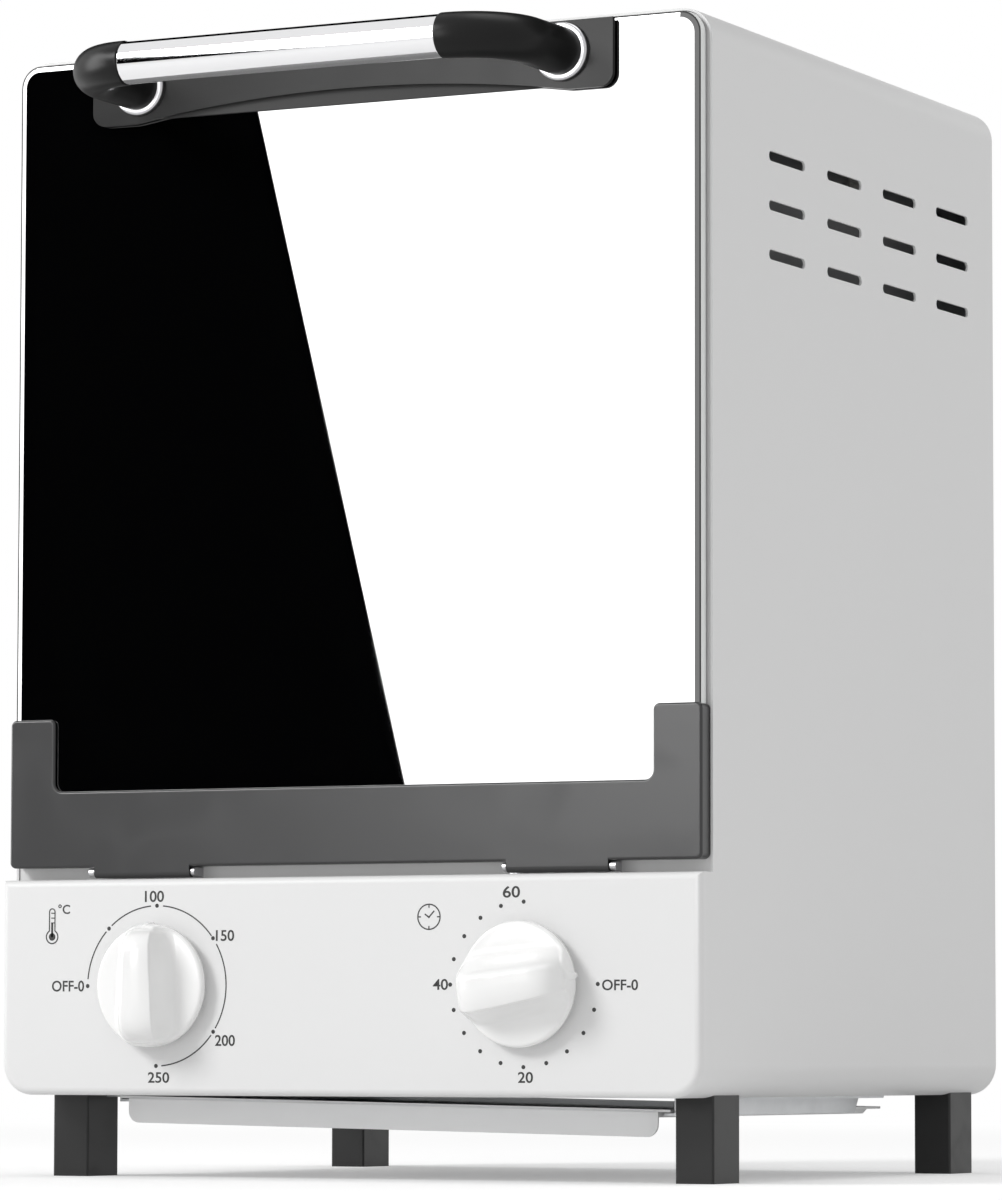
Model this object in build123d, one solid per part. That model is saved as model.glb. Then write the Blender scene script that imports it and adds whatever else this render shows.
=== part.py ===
from build123d import *
import math
import os

# Bench-top dry heat sterilizer, in millimetres.
# While it is built, y = 0 is the front face of the control panel, z = 0 the floor and x = 0 the middle.
# When it is saved, it is moved so that the origin is the bottom centre of the whole object.

# Case
case_width = 255.2
case_height = 345.0
case_depth = 243.0
case_corner_radius = 10.5
case_sheet = 0.8
bottom_flange = 32.0
rear_flange = 8.0
back_panel_inset = 2.0
seam_gap = 0.1

# Feet
foot_height = 27.0
foot_width = 13.4
foot_depth = 20.0
foot_side_inset = 6.4
foot_front_y = 22.9
foot_rear_inset = 6.4
foot_edge_radius = 0.8
foot_screw_radius = 2.0
foot_screw_head_radius = 3.6
foot_screw_head_height = 2.6
foot_counterbore_radius = 4.2
foot_floor = 9.0
foot_screw_reach = 5.0

# Side vents
vent_length = 28.5
vent_height = 3.3
vent_front_inset = 66.5
vent_rear_inset = 37.0
vent_columns = 4
vent_top_drop = 41.8
vent_pitch_z = 16.05
vent_rows = 3

# Rear and bottom vents
rear_vent_bar = 14.0
rear_vent_height = 4.0
rear_vent_side_inset = 46.6
rear_vent_pitch_z = 16.0
rear_vent_columns = 4
rear_vent_rows = 3
rear_vent_top_drop = 60.0
floor_vent_bar = 14.0
floor_vent_width = 4.0
floor_vent_side_inset = 46.6
floor_vent_end_inset = 90.0
floor_vent_columns = 4
floor_vent_rows = 2

# Control panel
panel_height = 70.7
panel_return = 4.0
panel_edge_radius = 2.5
shaft_hole_radius = 6.0
temperature_inset = 59.2
timer_inset = 61.9
control_rise = 35.7

# Front frame and chamber
door_recess = 8.8
frame_inset = 0.6
frame_drop = 12.0
chamber_side_gap = 16.6
chamber_top_gap = 20.0
chamber_rear_gap = 25.8
chamber_rise = 9.3
chamber_corner_radius = 8.0
liner_sheet = 0.8
liner_flange = 6.0
bead_depth = 5.0
bead_height = 8.0
bead_radius = 1.8
bead_front_gap = 14.0
bead_rear_gap = 12.0
bead_low_gap = 58.0
bead_high_gap = 59.0
bead_levels = 3

# Heating tubes
heater_radius = 3.25
heater_side_reach = 7.0
heater_wall_gap = 15.5
heater_front_gap = 55.8
heater_rear_gap = 57.2
heater_stud_radius = 1.6
heater_stud_length = 4.0
bush_radius = 5.2
bush_flange_radius = 7.0
bush_flange = 2.0
bush_reach = 5.0
bush_gap = 0.1

# Rack and instrument tray
rack_level = 1
rack_frame_wire = 1.6
rack_cross_wire = 1.1
rack_side_gap = 1.4
rack_corner_radius = 10.0
rack_front_gap = 4.5
rack_rear_gap = 3.3
rack_cross_count = 10
weld_sink = 0.3
dish_side_gap = 23.0
dish_end_gap = 15.0
dish_height = 13.0
dish_corner_radius = 12.0
dish_sheet = 0.8
dish_rim = 3.5
dish_draft = 5.0
dish_hole_radius = 2.6
dish_hole_columns = 6
dish_hole_rows = 4
dish_hole_inset = 23.0
rest_gap = 0.1

# Heat shield above the controls
shield_drop = 7.4
shield_side_gap = 3.0
shield_flange = 8.0

# Control bracket, thermostat and timer
bracket_web_y = 12.0
bracket_half_height = 21.0
bracket_side_gap = 22.6
bracket_sheet = 0.8
shaft_radius = 3.0
shaft_flat_depth = 0.8
shaft_running_gap = 0.05
shaft_rear_y = 18.0
shaft_blind_gap = 0.6
collar_radius = 4.8
collar_length = 4.0
thermostat_width = 36.0
thermostat_tall = 32.0
thermostat_deep = 24.0
control_plate_width = 50.0
control_plate_tall = 28.0
control_plate_sheet = 1.2
control_edge_radius = 2.5
timer_width = 46.0
timer_tall = 40.0
timer_deep = 18.0
bell_radius = 19.0
bell_height = 11.0
bell_wall = 1.0
bell_gap = 2.0
bell_post_radius = 2.5
blade_width = 6.3
blade_sheet = 0.8
blade_length = 8.0
capillary_radius = 0.8
bulb_radius = 3.0
bulb_length = 70.0
capillary_run = 12.0
capillary_lead = 14.0
capillary_bend = 5.0
bulb_wall_gap = 2.5
bulb_rise = 34.0
bulb_front_gap = 85.8
bulb_clip_sheet = 0.8
bulb_clip_width = 6.0

# Knobs
knob_radius = 20.0
knob_panel_gap = 1.2
knob_rim = 5.2
knob_face_rise = 1.0
knob_rim_radius = 1.3
knob_height = 19.5
fin_half_length = 19.5
fin_top_shrink = 2.4
fin_nose_half = 3.4
fin_tail_half = 4.9
fin_top_half_share = 0.62
fin_shoulder_radius = 7.0
fin_edge_radius = 1.1
knob_wall = 2.0
hub_radius = 5.6
knob_bore_depth = 12.0
knob_bore_gap = 0.03
nub_width = 1.6
nub_reach = 0.7
temperature_rest_turn = 0.0
timer_rest_turn = -82.0

# Door glass
glass_thickness = 4.0
glass_front_y = 4.1
glass_side_gap = 2.1
glass_top_gap = 1.7
glass_corner_radius = 7.2
glass_low_radius = 2.6
glass_bevel_width = 2.0
glass_bevel_depth = 0.5
glass_bed = 0.4

# Door trim
trim_front_y = 2.6
trim_sheet = 0.9
trim_side_gap = 1.0
trim_lift = 4.0
trim_band = 25.15
trim_upright = 49.1
trim_upright_width = 17.0
trim_wrap = 6.3
trim_corner_radius = 2.0
trim_inner_radius = 3.0
trim_bend_radius = 0.85

# Door hinge
hinge_axis_rise = 2.3
hinge_bore_radius = 1.0
hinge_pin_radius = 0.95
knuckle_side_gap = 33.6
knuckle_length = 36.0
ear_gap = 0.4
ear_sheet = 1.2
ear_nose = 1.45
hinge_leaf = 0.8
hinge_leaf_clear = 0.25
pin_head_radius = 1.45
pin_head = 0.8

# Door check arms
arm_side_gap = 5.6
arm_sheet = 1.5
arm_inner_radius = 38.0
arm_band = 8.0
arm_stop_rise = 3.5
arm_start_angle = 82.0
arm_tail_angle = -9.0
arm_stop_angle = -17.0
arm_tab_sheet = 0.8
arm_tab_width = 10.0
arm_tab_under = 2.0
arm_tab_over = 2.5
arm_slot_gap = 0.7

# Handle
handle_post_gap = 49.6
handle_drop = 10.5
handle_standoff = 43.2
grip_radius = 6.9
grip_wall = 1.2
elbow_bend = 20.5
elbow_start_radius = 7.3
elbow_root_radius = 7.8
spigot_length = 12.0
spigot_gap = 0.05
ferrule_radius = 9.5
ferrule_thickness = 2.0
handle_plate_side_gap = 31.6
handle_plate_thickness = 1.6
handle_plate_top_gap = 2.0
handle_plate_tall = 22.2
handle_plate_arch = 6.2
handle_plate_foot = 16.0
handle_plate_radius = 4.6
handle_pad_thickness = 0.8
handle_pad_inset = 6.0
handle_pad_lift = 1.4
handle_screw_radius = 2.0
handle_screw_hole_gap = 0.15
handle_screw_head_radius = 4.0
handle_screw_head = 2.4
handle_screw_reach = 16.0
head_pocket_gap = 1.4

# Pull-out tray under the case
tray_foot_gap = 10.3
tray_front_y = 33.0
tray_rear_gap = 41.0
tray_rear_rake = 6.0
tray_sheet = 0.8
tray_wall = 2.5
tray_top_gap = 2.1
tray_rim = 4.0
tray_drop = 3.4
lip_height = 8.0
lip_top_gap = 0.8
lip_radius = 4.0
guide_sheet = 0.8
guide_gap = 0.35
guide_toe = 3.9
guide_foot = 10.0
guide_length = 20.0
guide_front_y = 2.0
guide_front_runner = 46.0
guide_rear_gap = 62.0

# Mains entry
gland_side_gap = 42.6
gland_rise = 22.0
gland_radius = 6.0
gland_collar_radius = 9.0
gland_collar = 3.0
gland_bore_radius = 3.6
gland_inner_length = 6.0
gland_hole_gap = 0.1
block_width = 40.0
block_depth = 18.0
block_height = 14.0
block_rear_gap = 8.0
block_screw_radius = 2.2
block_screw_count = 3
block_screw_pitch = 12.0

# Case screws
case_screw_radius = 1.5
case_screw_head_radius = 2.9
case_screw_head = 1.6
case_screw_reach = 5.0
case_screw_edge = 4.4
case_screw_low = 45.0
case_screw_high = 45.0
case_screw_top_inset = 57.6

# Places worked out from the sizes above
half_width = case_width / 2
foot_rear_y = case_depth - foot_rear_inset - foot_depth
case_bottom = foot_height
case_top = case_bottom + case_height
case_middle_z = (case_bottom + case_top) / 2
panel_top = case_bottom + panel_height
control_z = case_bottom + control_rise
frame_front = door_recess + frame_inset
frame_back = frame_front + case_sheet
back_inner = case_depth - back_panel_inset
back_outer = back_inner + case_sheet
chamber_bottom = panel_top + chamber_rise
chamber_top = case_top - chamber_top_gap
chamber_height = chamber_top - chamber_bottom
chamber_middle_z = (chamber_bottom + chamber_top) / 2
chamber_half = half_width - chamber_side_gap
chamber_width = 2 * chamber_half
chamber_back = back_inner - chamber_rear_gap
chamber_depth = chamber_back - frame_back
temperature_x = temperature_inset - half_width
timer_x = half_width - timer_inset
vent_last_y = case_depth - vent_rear_inset
heater_front_y = frame_back + heater_front_gap
heater_rear_y = chamber_back - heater_rear_gap
bulb_front_y = frame_back + bulb_front_gap
heater_low_z = chamber_bottom + heater_wall_gap
heater_high_z = chamber_top - heater_wall_gap
heater_places = [
    ("heater_low_front", heater_front_y, heater_low_z),
    ("heater_low_rear", heater_rear_y, heater_low_z),
    ("heater_high_front", heater_front_y, heater_high_z),
    ("heater_high_rear", heater_rear_y, heater_high_z),
]
glass_half = half_width - glass_side_gap
glass_back_y = glass_front_y + glass_thickness
glass_top = case_top - glass_top_gap
trim_half = half_width - trim_side_gap
trim_bottom = panel_top + trim_lift
trim_back_y = trim_front_y + trim_wrap
glass_bottom = trim_bottom + trim_sheet + glass_bed
knuckle_radius = hinge_bore_radius + trim_sheet
hinge_y = trim_front_y + knuckle_radius
hinge_z = panel_top + hinge_axis_rise
arm_outer_radius = arm_inner_radius + arm_band
arm_stop_radius = arm_outer_radius + arm_stop_rise
handle_z = glass_top - handle_drop
handle_post_x = half_width - handle_post_gap
grip_half_length = handle_post_x - elbow_bend
handle_plate_half = half_width - handle_plate_side_gap
handle_pad_half = handle_plate_half - handle_pad_inset
knuckle_outer_x = half_width - knuckle_side_gap
knuckle_inner_x = knuckle_outer_x - knuckle_length
arm_x = half_width - arm_side_gap - arm_sheet
gland_x = half_width - gland_side_gap
pad_front_y = glass_front_y - handle_pad_thickness
plate_front_y = pad_front_y - handle_plate_thickness
grip_y = plate_front_y - handle_standoff
elbow_root_y = plate_front_y - ferrule_thickness
tray_half = half_width - foot_side_inset - foot_width - tray_foot_gap
tray_length = case_depth - tray_rear_gap - tray_front_y
guide_rear_y = case_depth - guide_rear_gap - guide_length
tray_top_z = case_bottom - tray_top_gap
tray_bottom_z = tray_top_z - tray_wall
tray_droop = math.degrees(math.atan2(tray_drop, 2 * tray_half))
object_front = grip_y - elbow_start_radius
object_back = max(back_outer + gland_collar, case_depth)
shift_y = -(object_front + object_back) / 2


def rect(x0, x1, z0, z1):
    return Pos((x0 + x1) / 2, (z0 + z1) / 2) * Rectangle(x1 - x0, z1 - z0)


def box(x0, x1, y0, y1, z0, z1):
    return Pos((x0 + x1) / 2, (y0 + y1) / 2, (z0 + z1) / 2) * Box(x1 - x0, y1 - y0, z1 - z0)


def spaced(reach, count):
    return [reach * (2 * i / (count - 1) - 1) for i in range(count)]


def along_x(shape, x0, x1):
    # The sketch is drawn with y to the right and z up.
    return extrude(Plane.YZ.offset(x0) * shape, amount=x1 - x0)


def along_y(shape, y0, y1):
    # The sketch is drawn with x to the right and z up.
    return extrude(Plane.XZ.offset(-y0) * shape, amount=-(y1 - y0))


def along_z(shape, z0, z1):
    return extrude(Plane.XY.offset(z0) * shape, amount=z1 - z0)


def rod_y(x, z, radius, y0, y1):
    return along_y(Pos(x, z) * Circle(radius), y0, y1)


def rod_x(y, z, radius, x0, x1):
    return along_x(Pos(y, z) * Circle(radius), x0, x1)


def both_sides(shape):
    return [shape, mirror(shape, about=Plane.YZ)]


def front_edges(shape):
    return shape.faces().sort_by(Axis.Y)[0].edges()


def case_outline(inset):
    width = case_width - 2 * inset
    height = case_height - 2 * inset
    return Pos(0, case_middle_z) * RectangleRounded(width, height, case_corner_radius - inset)


def chamber_outline(grow):
    width = chamber_width + 2 * grow
    height = chamber_height + 2 * grow
    return Pos(0, chamber_middle_z) * RectangleRounded(width, height, chamber_corner_radius + grow)


def foot_centres():
    x = half_width - foot_side_inset - foot_width / 2
    for side in (-1, 1):
        for y in (foot_front_y, foot_rear_y):
            yield side * x, y + foot_depth / 2


def case_screw_places():
    side_x = half_width - case_screw_edge
    for side in (-1, 1):
        for z in (case_bottom + case_screw_low, case_middle_z, case_top - case_screw_high):
            yield side * side_x, z
        yield side * (half_width - case_screw_top_inset), case_top - case_screw_edge


def handle_screw_places():
    for side in (-1, 1):
        yield side * handle_post_x


# Outer case: one folded sheet, open at the front and under the middle
def make_case_wrap():
    wrap = along_y(case_outline(0) - case_outline(case_sheet), panel_return, case_depth)
    wrap -= box(-case_width, case_width, 0, door_recess, panel_top, case_top + 1)
    opening = half_width - bottom_flange
    wrap -= box(-opening, opening, 0, case_depth + 1, case_bottom - 1, case_bottom + case_sheet + 1)
    wrap += along_y(case_outline(0) - case_outline(case_sheet + rear_flange), back_inner - case_sheet, back_inner)
    slot = SlotOverall(vent_length, vent_height)
    vents = []
    vent_pitch_y = (vent_last_y - vent_front_inset) / (vent_columns - 1)
    for row in range(vent_rows):
        for column in range(vent_columns):
            y = vent_front_inset + column * vent_pitch_y
            z = case_top - vent_top_drop - row * vent_pitch_z
            vents.append(along_x(Pos(y, z) * slot, half_width - 2, half_width + 1))
    for vent in vents:
        for cut in both_sides(vent):
            wrap -= cut
    for x, y in foot_centres():
        wrap -= Pos(x, y, case_bottom) * Cylinder(foot_screw_radius, 4)
    for x, z in case_screw_places():
        wrap -= rod_y(x, z, case_screw_radius, back_inner - 2, back_inner + 1)
    return wrap


def panel_outline(inset):
    return case_outline(inset) & rect(-half_width, half_width, case_bottom, panel_top - inset)


# Control panel: a pressed tray-shaped front with a ledge along its top
def make_control_panel():
    panel = along_y(panel_outline(0), 0, panel_return)
    panel = fillet(front_edges(panel), panel_edge_radius)
    hollow = along_y(panel_outline(case_sheet), case_sheet, panel_return + 2)
    hollow = fillet(front_edges(hollow), panel_edge_radius - case_sheet)
    panel -= hollow
    ledge_half = half_width - case_sheet - seam_gap
    panel += box(-ledge_half, ledge_half, panel_return - 1, frame_front, panel_top - case_sheet, panel_top)
    for x in (temperature_x, timer_x):
        panel -= rod_y(x, control_z, shaft_hole_radius, -1, case_sheet + 1)
    return panel


def arm_slot(side):
    reach = frame_back - hinge_y
    low = hinge_z + math.sqrt(arm_inner_radius ** 2 - reach ** 2) - arm_slot_gap
    high = hinge_z + arm_outer_radius + arm_slot_gap
    x0 = side * (arm_x - arm_slot_gap)
    x1 = side * (arm_x + arm_sheet + arm_slot_gap)
    return box(min(x0, x1), max(x0, x1), frame_front - 1, frame_back + 1, low, high)


# Front frame: the white face around the mouth of the chamber, behind the door
def make_front_frame():
    low = panel_top - frame_drop
    face = case_outline(case_sheet + seam_gap) & rect(-half_width, half_width, low, case_top)
    frame = along_y(face - chamber_outline(0), frame_front, frame_back)
    for side in (-1, 1):
        frame -= arm_slot(side)
    pocket = handle_screw_head_radius + head_pocket_gap
    for x in handle_screw_places():
        frame -= rod_y(x, handle_z, pocket, frame_front - 1, frame_back + 1)
    return frame


# Chamber liner with its mouth flange, pressed shelf beads and holes for the heaters
def make_chamber_liner():
    liner = along_y(chamber_outline(liner_sheet), frame_back, chamber_back)
    liner += along_y(chamber_outline(liner_flange), frame_back, frame_back + liner_sheet)
    liner -= along_y(chamber_outline(0), frame_back - 1, chamber_back - liner_sheet)
    bead_y0 = frame_back + bead_front_gap
    bead_y1 = chamber_back - bead_rear_gap
    for level in range(bead_levels):
        z = bead_middle_z(level)
        bump = box(chamber_half - bead_depth, chamber_half + liner_sheet,
                   bead_y0, bead_y1, z - bead_height / 2, z + bead_height / 2)
        bump = fillet(bump.faces().sort_by(Axis.X)[0].edges(), bead_radius)
        dent = box(chamber_half - bead_depth + liner_sheet, chamber_half + liner_sheet + 1,
                   bead_y0 + liner_sheet, bead_y1 - liner_sheet,
                   z - bead_height / 2 + liner_sheet, z + bead_height / 2 - liner_sheet)
        dent = fillet(dent.faces().sort_by(Axis.X)[0].edges(), bead_radius - liner_sheet)
        for one in both_sides(bump):
            liner += one
        for one in both_sides(dent):
            liner -= one
    for name, y, z in heater_places:
        liner -= rod_x(y, z, bush_radius + bush_gap, -half_width, half_width)
    liner -= Pos(bulb_x(), bulb_front_y, chamber_bottom) * Cylinder(capillary_radius + 1, 6)
    pocket = handle_screw_head_radius + head_pocket_gap
    for x in handle_screw_places():
        liner -= rod_y(x, handle_z, pocket, frame_back - 1, frame_back + 3)
    return liner


def bead_middle_z(level):
    low = chamber_bottom + bead_low_gap
    high = chamber_top - bead_high_gap
    return low + level * (high - low) / (bead_levels - 1)


# Heating tube: a sheathed rod with a stud at each end
def make_heater(y, z):
    tube_half = chamber_half + liner_sheet + heater_side_reach
    tube = rod_x(y, z, heater_radius, -tube_half, tube_half)
    stud_half = tube_half + heater_stud_length
    return tube + rod_x(y, z, heater_stud_radius, -stud_half, stud_half)


# Ceramic bush that carries one end of a heating tube in the liner wall
def make_bush(y, z):
    bush = rod_x(y, z, bush_flange_radius, chamber_half - bush_flange, chamber_half)
    bush += rod_x(y, z, bush_radius, chamber_half - 1, chamber_half + liner_sheet + bush_reach)
    bush -= rod_x(y, z, heater_radius + bush_gap / 2, chamber_half - 5, half_width)
    return bush


def make_heater_bushes():
    bushes = []
    for name, y, z in heater_places:
        bushes += both_sides(make_bush(y, z))
    return bushes


# Wire rack: a frame wire with cross wires welded on top of it
def rack_z():
    return bead_middle_z(rack_level) + bead_height / 2 + rest_gap + rack_frame_wire


def rack_front_y():
    return frame_back + bead_front_gap + rack_front_gap


def rack_rear_y():
    return chamber_back - bead_rear_gap - rack_rear_gap


def rack_middle_y():
    return (rack_front_y() + rack_rear_y()) / 2


def make_wire_rack():
    half = chamber_half - rack_side_gap - rack_frame_wire
    middle = rack_middle_y()
    rack_length = rack_rear_y() - rack_front_y() - 2 * rack_frame_wire
    outline = RectangleRounded(2 * half, rack_length, rack_corner_radius).wire()
    path = Pos(0, middle, rack_z()) * outline
    start = path @ 0
    profile = Plane(origin=start, z_dir=path % 0) * Circle(rack_frame_wire)
    rack = sweep(profile, path=path)
    z = rack_z() + rack_frame_wire + rack_cross_wire - weld_sink
    pitch = 2 * half / (rack_cross_count + 1)
    reach = rack_length / 2 + rack_frame_wire / 2
    for i in range(rack_cross_count):
        x = -half + (i + 1) * pitch
        rack += rod_y(x, z, rack_cross_wire, middle - reach, middle + reach)
    return rack


# Instrument tray: a drawn dish with a rim and a perforated floor, resting on the rack
def make_instrument_tray():
    floor_z = rack_z() + rack_frame_wire + 2 * rack_cross_wire - weld_sink + rest_gap
    spread = dish_height * math.tan(math.radians(dish_draft))
    dish_width = chamber_width - 2 * dish_side_gap
    dish_length = rack_rear_y() - rack_front_y() - 2 * dish_end_gap
    low = RectangleRounded(dish_width - 2 * spread, dish_length - 2 * spread, dish_corner_radius - spread)
    high = RectangleRounded(dish_width, dish_length, dish_corner_radius)
    low_in = offset(low, -dish_sheet)
    high_in = offset(high, -dish_sheet)
    dish = loft([low, Pos(0, 0, dish_height) * high])
    rim = RectangleRounded(dish_width + 2 * dish_rim, dish_length + 2 * dish_rim, dish_corner_radius + dish_rim)
    dish += along_z(rim, dish_height - dish_sheet, dish_height)
    dish -= loft([Pos(0, 0, dish_sheet) * low_in, Pos(0, 0, dish_height + 0.1) * high_in])
    columns = spaced(dish_width / 2 - dish_hole_inset, dish_hole_columns)
    rows = spaced(dish_length / 2 - dish_hole_inset, dish_hole_rows)
    for x in columns:
        for y in rows:
            dish -= Pos(x, y, 0) * Cylinder(dish_hole_radius, 4)
    return Pos(0, rack_middle_y(), floor_z) * dish


# Heat shield: a folded sheet between the chamber and the controls
def make_heat_shield():
    half = chamber_half - shield_side_gap
    top = chamber_bottom - shield_drop
    low = top - case_sheet
    shield = box(-half, half, frame_back, back_inner, low, top)
    for y in (frame_back, back_inner - case_sheet):
        shield += box(-half, half, y, y + case_sheet, low - shield_flange, top)
    hole = Pos(bulb_x(), bulb_front_y, low) * Cylinder(capillary_radius + 1, 4)
    return shield - hole


# Bracket that carries the thermostat and the timer behind the panel
def make_control_bracket():
    low = control_z - bracket_half_height
    high = control_z + bracket_half_height
    half = half_width - bracket_side_gap
    back = bracket_web_y + bracket_sheet
    bracket = box(-half, half, bracket_web_y, back, low, high)
    for z in (low, high - bracket_sheet):
        bracket += box(-half, half, case_sheet, back, z, z + bracket_sheet)
    for x in (temperature_x, timer_x):
        bracket -= rod_y(x, control_z, collar_radius + seam_gap, bracket_web_y - 1, back + 1)
    return bracket


def control_body(x, width, tall, deep):
    back = bracket_web_y + bracket_sheet
    body_y = back + control_plate_sheet
    body = box(x - width / 2, x + width / 2, body_y, body_y + deep, control_z - tall / 2, control_z + tall / 2)
    body = fillet(body.edges().filter_by(Axis.Y), control_edge_radius)
    half_plate = control_plate_width / 2
    body += box(x - half_plate, x + half_plate, back, body_y,
                control_z - control_plate_tall / 2, control_z + control_plate_tall / 2)
    body += rod_y(x, control_z, collar_radius, back - collar_length, back + 1)
    bore = shaft_radius + shaft_running_gap
    return body - rod_y(x, control_z, bore, 0, shaft_rear_y + shaft_blind_gap)


# Capillary thermostat with two blade terminals
def make_thermostat():
    body = control_body(temperature_x, thermostat_width, thermostat_tall, thermostat_deep)
    rear = bracket_web_y + bracket_sheet + control_plate_sheet + thermostat_deep
    for offset_x in (-thermostat_width / 4, thermostat_width / 4):
        x = temperature_x + offset_x
        body += box(x - blade_width / 2, x + blade_width / 2, rear - 1, rear + blade_length,
                    control_z - blade_sheet / 2, control_z + blade_sheet / 2)
    return body


def bulb_x():
    return chamber_half - bulb_wall_gap - bulb_radius


# Capillary tube and sensing bulb: out of the thermostat, up into the chamber, along its side wall
def make_thermostat_bulb():
    x = bulb_x()
    z = chamber_bottom + bulb_rise
    start_x = temperature_x + thermostat_width / 2
    start_y = bracket_web_y + bracket_sheet + control_plate_sheet + thermostat_deep / 2
    low_z = control_z - thermostat_tall / 4
    run_x = start_x + capillary_run
    bulb_start = bulb_front_y + capillary_lead
    points = [(start_x, start_y, low_z), (run_x, start_y, low_z), (run_x, bulb_front_y, low_z),
              (x, bulb_front_y, low_z), (x, bulb_front_y, z), (x, bulb_start, z)]
    path = FilletPolyline(*points, radius=capillary_bend)
    tube = sweep(Plane(origin=path @ 0, z_dir=path % 0) * Circle(capillary_radius), path=path)
    bulb = rod_y(x, z, bulb_radius, bulb_start - capillary_radius, bulb_start + bulb_length)
    bulb = fillet(bulb.edges(), bulb_radius / 2)
    return tube + bulb


# Two spring clips that hold the bulb to the chamber wall
def make_bulb_clips():
    clips = []
    z = chamber_bottom + bulb_rise
    inner = bulb_radius + seam_gap
    outer = inner + bulb_clip_sheet
    for share in (0.25, 0.75):
        y = bulb_front_y + capillary_lead + bulb_length * share
        ring = Pos(bulb_x(), z) * (Circle(outer) - Circle(inner))
        foot = rect(bulb_x() + inner, chamber_half, z - outer, z + outer)
        section = (ring + foot) - Pos(bulb_x(), z) * Circle(inner)
        section -= rect(bulb_x() - 2 * outer, bulb_x() - inner / 2, z - outer, z + outer)
        clips.append(along_y(section, y - bulb_clip_width / 2, y + bulb_clip_width / 2))
    return clips


# Clockwork timer with its bell
def make_timer():
    body = control_body(timer_x, timer_width, timer_tall, timer_deep)
    rear = bracket_web_y + bracket_sheet + control_plate_sheet + timer_deep
    return body + rod_y(timer_x, control_z, bell_post_radius, rear - 1, rear + bell_gap + bell_height - bell_wall)


def make_timer_bell():
    rear = bracket_web_y + bracket_sheet + control_plate_sheet + timer_deep + bell_gap
    ball = (bell_radius ** 2 + bell_height ** 2) / (2 * bell_height)
    crown = Pos(0, bell_height - ball) * Circle(ball)
    hollow = Pos(0, bell_height - ball) * Circle(ball - bell_wall)
    half = (crown - hollow) & rect(0, bell_radius + 1, 0, bell_height + 1)
    half -= rect(0, bell_post_radius + rest_gap, -1, bell_height + 1)
    dome = revolve(Plane.XZ * half, axis=Axis.Z)
    return Location((timer_x, rear, control_z), (-90, 0, 0)) * dome


# Shaft of a control, with a flat where the knob sits
def make_shaft(x):
    front = -(knob_panel_gap + knob_bore_depth)
    shaft = rod_y(x, control_z, shaft_radius, front, shaft_rear_y)
    flat_z = control_z + shaft_radius - shaft_flat_depth
    return shaft - box(x - shaft_radius, x + shaft_radius, front - 1, 0, flat_z, control_z + 2 * shaft_radius)


# Knob: a round skirt with a tapered finger fin, drawn lying on its back with the nose to +Y
def make_knob(x, turn):
    rim = Plane.XZ * make_face(Polyline((0, knob_panel_gap), (knob_radius, knob_panel_gap),
                                        (knob_radius, knob_rim), (0, knob_rim + knob_face_rise), close=True))
    skirt = revolve(rim, axis=Axis.Z)
    skirt = fillet(skirt.edges().filter_by(GeomType.CIRCLE).sort_by(Axis.Z)[-1], knob_rim_radius)
    base = fin_outline(1.0, fin_half_length)
    crest = fin_outline(fin_top_half_share, fin_half_length - fin_top_shrink)
    fin = loft([Pos(0, 0, knob_panel_gap + 2) * base, Pos(0, 0, knob_height) * crest])
    arch = rect(-fin_half_length, fin_half_length, 0, knob_height - 0.01)
    arch = fillet(arch.vertices().group_by(Axis.Y)[-1], fin_shoulder_radius)
    fin &= along_x(arch, -knob_radius, knob_radius)
    knob = skirt + fin
    knob += Pos(0, knob_radius, (knob_panel_gap + knob_rim) / 2) * Box(
        nub_width, 2 * nub_reach, knob_rim - knob_panel_gap - 2 * nub_reach)
    hollow = Pos(0, 0, knob_panel_gap) * Cylinder(
        knob_radius - knob_wall, knob_rim - knob_wall - knob_panel_gap + 1, align=(Align.CENTER, Align.CENTER, Align.MIN))
    hub = Pos(0, 0, knob_panel_gap) * Cylinder(
        hub_radius, knob_rim, align=(Align.CENTER, Align.CENTER, Align.MIN))
    knob = knob - hollow + hub
    bore = Pos(0, 0, knob_panel_gap - 1) * Cylinder(
        shaft_radius + knob_bore_gap, knob_bore_depth + 1 + knob_bore_gap,
        align=(Align.CENTER, Align.CENTER, Align.MIN))
    knob = Rot(0, 0, turn) * knob
    flat_y = shaft_radius - shaft_flat_depth + knob_bore_gap
    key = box(-hub_radius, hub_radius, flat_y, 2 * shaft_radius, knob_panel_gap - 1, knob_height)
    knob -= bore - key
    return Plane(origin=(x, 0, control_z), x_dir=(1, 0, 0), z_dir=(0, -1, 0)).location * knob


def fin_outline(share, length):
    nose = fin_nose_half * share
    tail = fin_tail_half * share
    outline = make_face(Polyline((-tail, -length), (tail, -length), (nose, length), (-nose, length), close=True))
    return fillet(outline.vertices(), fin_edge_radius)


# Door glass with bevelled edges and two holes for the handle screws
def make_door_glass():
    pane = rect(-glass_half, glass_half, glass_bottom, glass_top)
    pane = fillet(pane.vertices().group_by(Axis.Y)[-1], glass_corner_radius)
    pane = fillet(pane.vertices().group_by(Axis.Y)[0], glass_low_radius)
    glass = along_y(pane, glass_front_y, glass_back_y)
    face = glass.faces().sort_by(Axis.Y)[0]
    glass = chamfer(face.edges(), glass_bevel_width, glass_bevel_depth, reference=face)
    for x in handle_screw_places():
        glass -= rod_y(x, handle_z, handle_screw_radius + handle_screw_hole_gap,
                       glass_front_y - 1, glass_back_y + 1)
    return glass


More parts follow.
